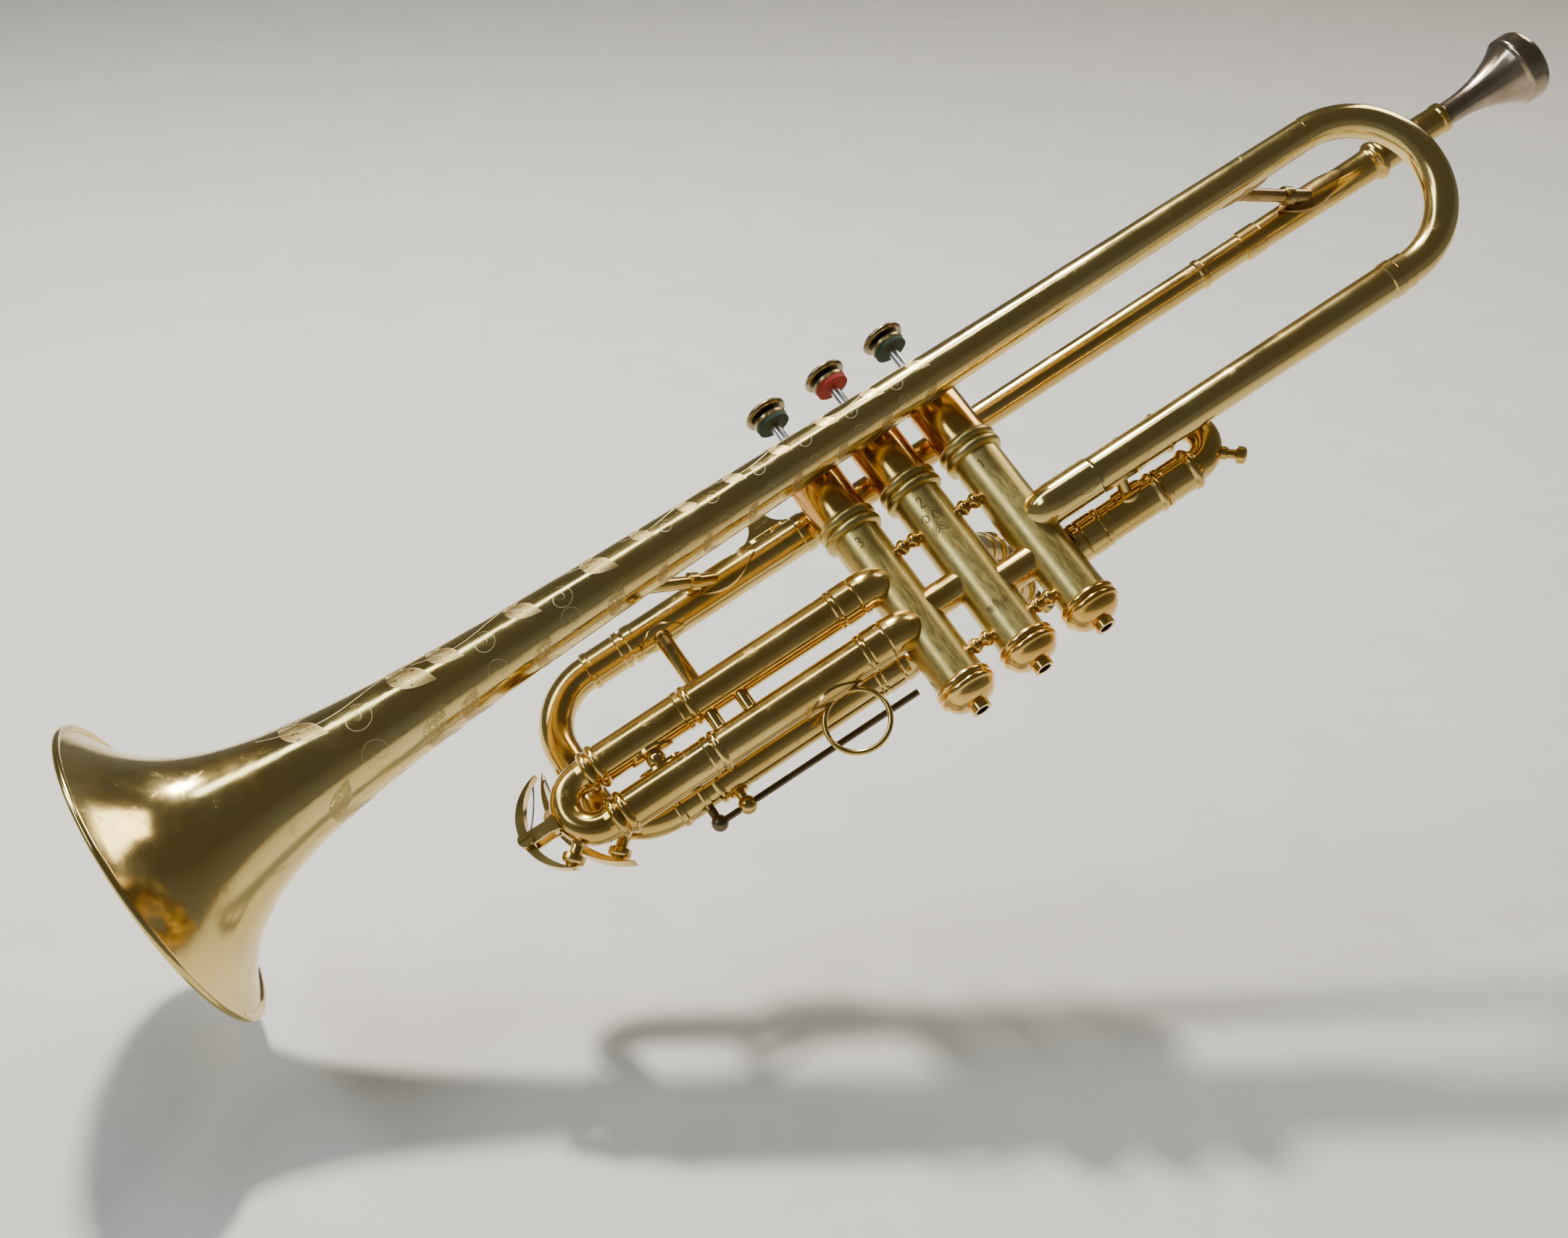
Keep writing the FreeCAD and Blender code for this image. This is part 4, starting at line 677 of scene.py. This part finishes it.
def draw_vine(lines, ground, start, length, turn, size, line):
    """A swaying stem along the tube, with pairs of leaves and pairs of scrolls in turn."""
    girth_at = lines.wrap.girth_at
    stem = []
    for number in range(STEM_STEPS + 1):
        share = number / STEM_STEPS
        along = start + length * share
        sway = math.sin(share * math.tau * length / (size * 5.5)) * size * 0.35
        stem.append((along, turn + sway / girth_at(along)))
    lines.draw(stem, line)
    step = size * 1.3
    leafy = True
    along = start + step * 0.4
    while along < start + length - step * 0.6:
        girth = girth_at(along)
        if leafy:
            for heading, reach in VINE_LEAVES:
                leaf = ((along, turn), heading, size * reach)
                width = size * reach * LEAF_SHAPE
                ground.fill(leaf_points(*leaf, width / 2, girth), leaf_points(*leaf, -width / 2, girth))
                draw_leaf(lines, *leaf, width, girth, line)
        else:
            for way in (-1, 1):
                centre = (along + size * 0.35, turn + way * size * 0.75 / girth)
                lines.draw(scroll_points(centre, size * 0.42, -way * math.pi / 2, girth), line)
        along += step
        leafy = not leafy


# ---------------------------------------------------------------- engraving
# Each set of vines: its name, the side it's drawn from, and how far round each vine stands.
BELL_VINES = (("near", CAMERA_SIDE, (-0.72, 1.45)), ("far", -CAMERA_SIDE, (0.72,)))
# Each stretch of a vine: from the bell's mouth, how long, the size of its leaves, the width of its lines.
VINE_STRETCHES = (
    (52 * MM, 60 * MM, 15.0 * MM, 0.48 * MM),
    (108 * MM, 85 * MM, 11.5 * MM, 0.42 * MM),
    (190 * MM, 130 * MM, 7.2 * MM, 0.34 * MM),
)

# The strokes of plain figures on a unit square, as (across, up) from its lower left.
FIGURES = {
    1: (
        ((0.25, 0.75), (0.5, 1.0), (0.5, 0.5), (0.5, 0.0)),
    ),
    2: (
        ((0.1, 0.8), (0.3, 1.0), (0.7, 1.0), (0.85, 0.75), (0.5, 0.4), (0.1, 0.0)),
        ((0.1, 0.0), (0.5, 0.0), (0.9, 0.0)),
    ),
    3: (
        ((0.1, 0.95), (0.5, 1.0), (0.85, 0.78), (0.45, 0.55)),
        ((0.45, 0.55), (0.9, 0.3), (0.5, 0.0), (0.1, 0.08)),
    ),
}
FIGURE_TURN = -0.15                 # how far round the casing the stamps stand, in radians
FIGURE_HEIGHT = 4.0 * MM
FIGURE_SHAPE = 0.7                  # width as a share of height
FIGURE_DROP = 16.0 * MM             # from the collar down to a figure's foot
FIGURE_LINE = 0.8 * MM
SCROLL_DROP = 22.5 * MM
SCROLL_LINE = 0.7 * MM
STAMP_LINE = 0.6 * MM

# Single leaves on the tubes: the node and its body, where the leaf starts along X, its length, its turn.
TUBE_LEAVES = (
    ("third_lower_sleeve", "horn", -0.052, 0.026, 0.55),
    ("third_lower_sleeve", "horn", -0.072, 0.022, -0.6),
    ("third_upper_sleeve", "horn", -0.090, 0.016, 0.4),
    ("third_upper_leg", "third_slide_body", -0.120, 0.018, 0.3),
    ("third_lower_leg", "third_slide_body", -0.120, 0.018, 0.2),
    ("main_upper_sleeve", "horn", -0.060, 0.022, 0.6),
    ("main_upper_sleeve", "horn", -0.100, 0.012, 0.5),
    ("main_lower_sleeve", "horn", -0.062, 0.024, 0.7),
    ("receiver", "horn", 0.186, 0.024, 0.5),
    ("bell_tail", "horn", 0.040, 0.018, 0.3),
    ("bell_tail", "horn", 0.060, 0.014, 0.8),
)
TUBE_LEAF_SHAPE = 1.3               # width as a share of the tube's radius
TUBE_LEAF_LINE = 0.4 * MM


def engrave_bell(materials):
    """Leafy scrollwork: a vine above the middle on each side, and one underneath."""
    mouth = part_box("bell")[0][0]
    for label, facing, turns in BELL_VINES:
        wrap = tube_wrap("bell", facing)
        lines = Lines(wrap, ENGRAVED_LIFT)
        ground = Ground(wrap, ENGRAVED_LIFT * GROUND_LIFT)
        for turn in turns:
            for start, length, size, line in VINE_STRETCHES:
                draw_vine(lines, ground, mouth + start, length, turn, size, line)
        lines.finish("bell_engraving_" + label, materials["engraved"], "horn", "gold_brass")
        ground.finish("bell_ground_" + label, materials["ground"], "horn", "gold_brass")


def stamp_figure(lines, number, foot, girth):
    """A valve's number, its strokes of even width."""
    for stroke in FIGURES[number]:
        points = []
        for across, up in stroke:
            sideways = (across - 0.5) * FIGURE_HEIGHT * FIGURE_SHAPE
            points.append((foot + up * FIGURE_HEIGHT, FIGURE_TURN + sideways / girth))
        lines.draw(points, FIGURE_LINE, taper=False)


def stamp_scrolls(lines, at, girth):
    """Two scrolls over a pair of hanging leaves."""
    for way in (-1, 1):
        centre = (at + 2.0 * MM, FIGURE_TURN + way * 2.5 * MM / girth)
        start = math.pi / 2 - way * 1.2
        lines.draw(scroll_points(centre, 2.4 * MM, start, girth), SCROLL_LINE)
        root = (at - 1.2 * MM, FIGURE_TURN)
        draw_leaf(lines, root, math.pi - way * 0.7, 5.6 * MM, 2.6 * MM, girth, STAMP_LINE)


def stamp_leaves(lines, at, girth):
    """Three leaves that fan out upwards."""
    for way in (-1, 0, 1):
        root = (at, FIGURE_TURN + way * 1.8 * MM / girth)
        draw_leaf(lines, root, way * 0.9, 4.4 * MM, 2.0 * MM, girth, STAMP_LINE)


def stamp_casings(materials):
    """A valve number under each collar, and plain scrolls and leaves on the middle casing."""
    for number in (1, 2, 3):
        low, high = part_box("casing_%d" % number)
        girth = (high[0] - low[0]) / 2
        collar = collar_height(number)
        lines = Lines(casing_wrap(number), ENGRAVED_LIFT)
        stamp_figure(lines, number, collar - FIGURE_DROP, girth)
        if number == 2:
            stamp_scrolls(lines, collar - SCROLL_DROP, girth)
            stamp_leaves(lines, low[2] + 16.0 * MM, girth)
        lines.finish("casing_stamp_%d" % number, materials["stamped"], "horn", "gold_brass")


def engrave_tubes(materials):
    """Long pointed leaves, in outline only, on the slides' tubes, the receiver and the bell's tail."""
    for order, (node, body, at, length, turn) in enumerate(TUBE_LEAVES):
        wrap = tube_wrap(node, CAMERA_SIDE)
        girth = wrap.girth_at(at)
        lines = Lines(wrap, ENGRAVED_LIFT)
        width = girth * TUBE_LEAF_SHAPE
        for side in (-1, 1):
            points = leaf_points((at, turn), 0.0, length, width * side / 2, girth)
            lines.draw(points, TUBE_LEAF_LINE)
        lines.finish("leaf_lines_%d" % order, materials["stamped"], body, "gold_brass")


# ---------------------------------------------------------------- springs
KEY_WIRE_RADIUS = 0.35 * MM
# Where each water key's wire runs: a share of the way up the lever's arm, and a step off it.
KEY_WIRE_ROUTE = ((0.14, 0.0), (0.36, MM), (0.62, MM), (0.88, 0.0))
KEY_WIRES = (
    ("third_key_turn", "third_water_key", "third_key"),
    ("main_key_turn", "main_water_key", "main_key"),
)


def joint_named(name):
    return [joint for joint in frame["joints"] if joint["name"] == name][0]


def valve_springs():
    """The coils under the pistons, as pieces of their own."""
    for number in (1, 2, 3):
        node = "valve_spring_%d" % number
        mesh = frame["nodes"][node].data.copy()
        coil = bpy.data.objects.new("valve_coil_%d" % number, mesh)
        bpy.context.collection.objects.link(coil)
        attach(coil, "horn")
        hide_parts(node)
        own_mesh(coil)


def wire_piece(name, points, radius, material, body):
    """A thin round wire that runs smoothly by a few places."""
    curve = bpy.data.curves.new(name, "CURVE")
    curve.dimensions = "3D"
    curve.bevel_depth = radius
    curve.bevel_resolution = 3
    curve.use_fill_caps = True
    spline = curve.splines.new("NURBS")
    spline.points.add(len(points) - 1)
    for point, place in zip(spline.points, points):
        point.co = (*place, 1.0)
    spline.use_endpoint_u = True
    spline.order_u = 4
    curve.materials.append(material)
    wire = bpy.data.objects.new(name, curve)
    bpy.context.collection.objects.link(wire)
    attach(wire, body)


def key_springs(materials):
    """The water keys' return springs: a wire from each hinge to the top tip of its lever."""
    for joint_name, key, body in KEY_WIRES:
        pivot = Vector(joint_named(joint_name)["pos_m"])
        corners = [vertex.co for vertex in frame["nodes"][key].data.vertices]
        top = max(corner.z for corner in corners)
        tip_corners = [corner for corner in corners if corner.z > top - MM]
        arm = sum(tip_corners, Vector()) / len(tip_corners) - pivot
        points = [pivot + arm * share + ALONG * off for share, off in KEY_WIRE_ROUTE]
        wire_piece(key + "_spring", points, KEY_WIRE_RADIUS, materials["spring"], body)


make_camera()
materials = make_materials()
dress_nodes(materials)
engrave_bell(materials)
stamp_casings(materials)
engrave_tubes(materials)
valve_springs()
key_springs(materials)
make_floor()
make_lights()
make_world()
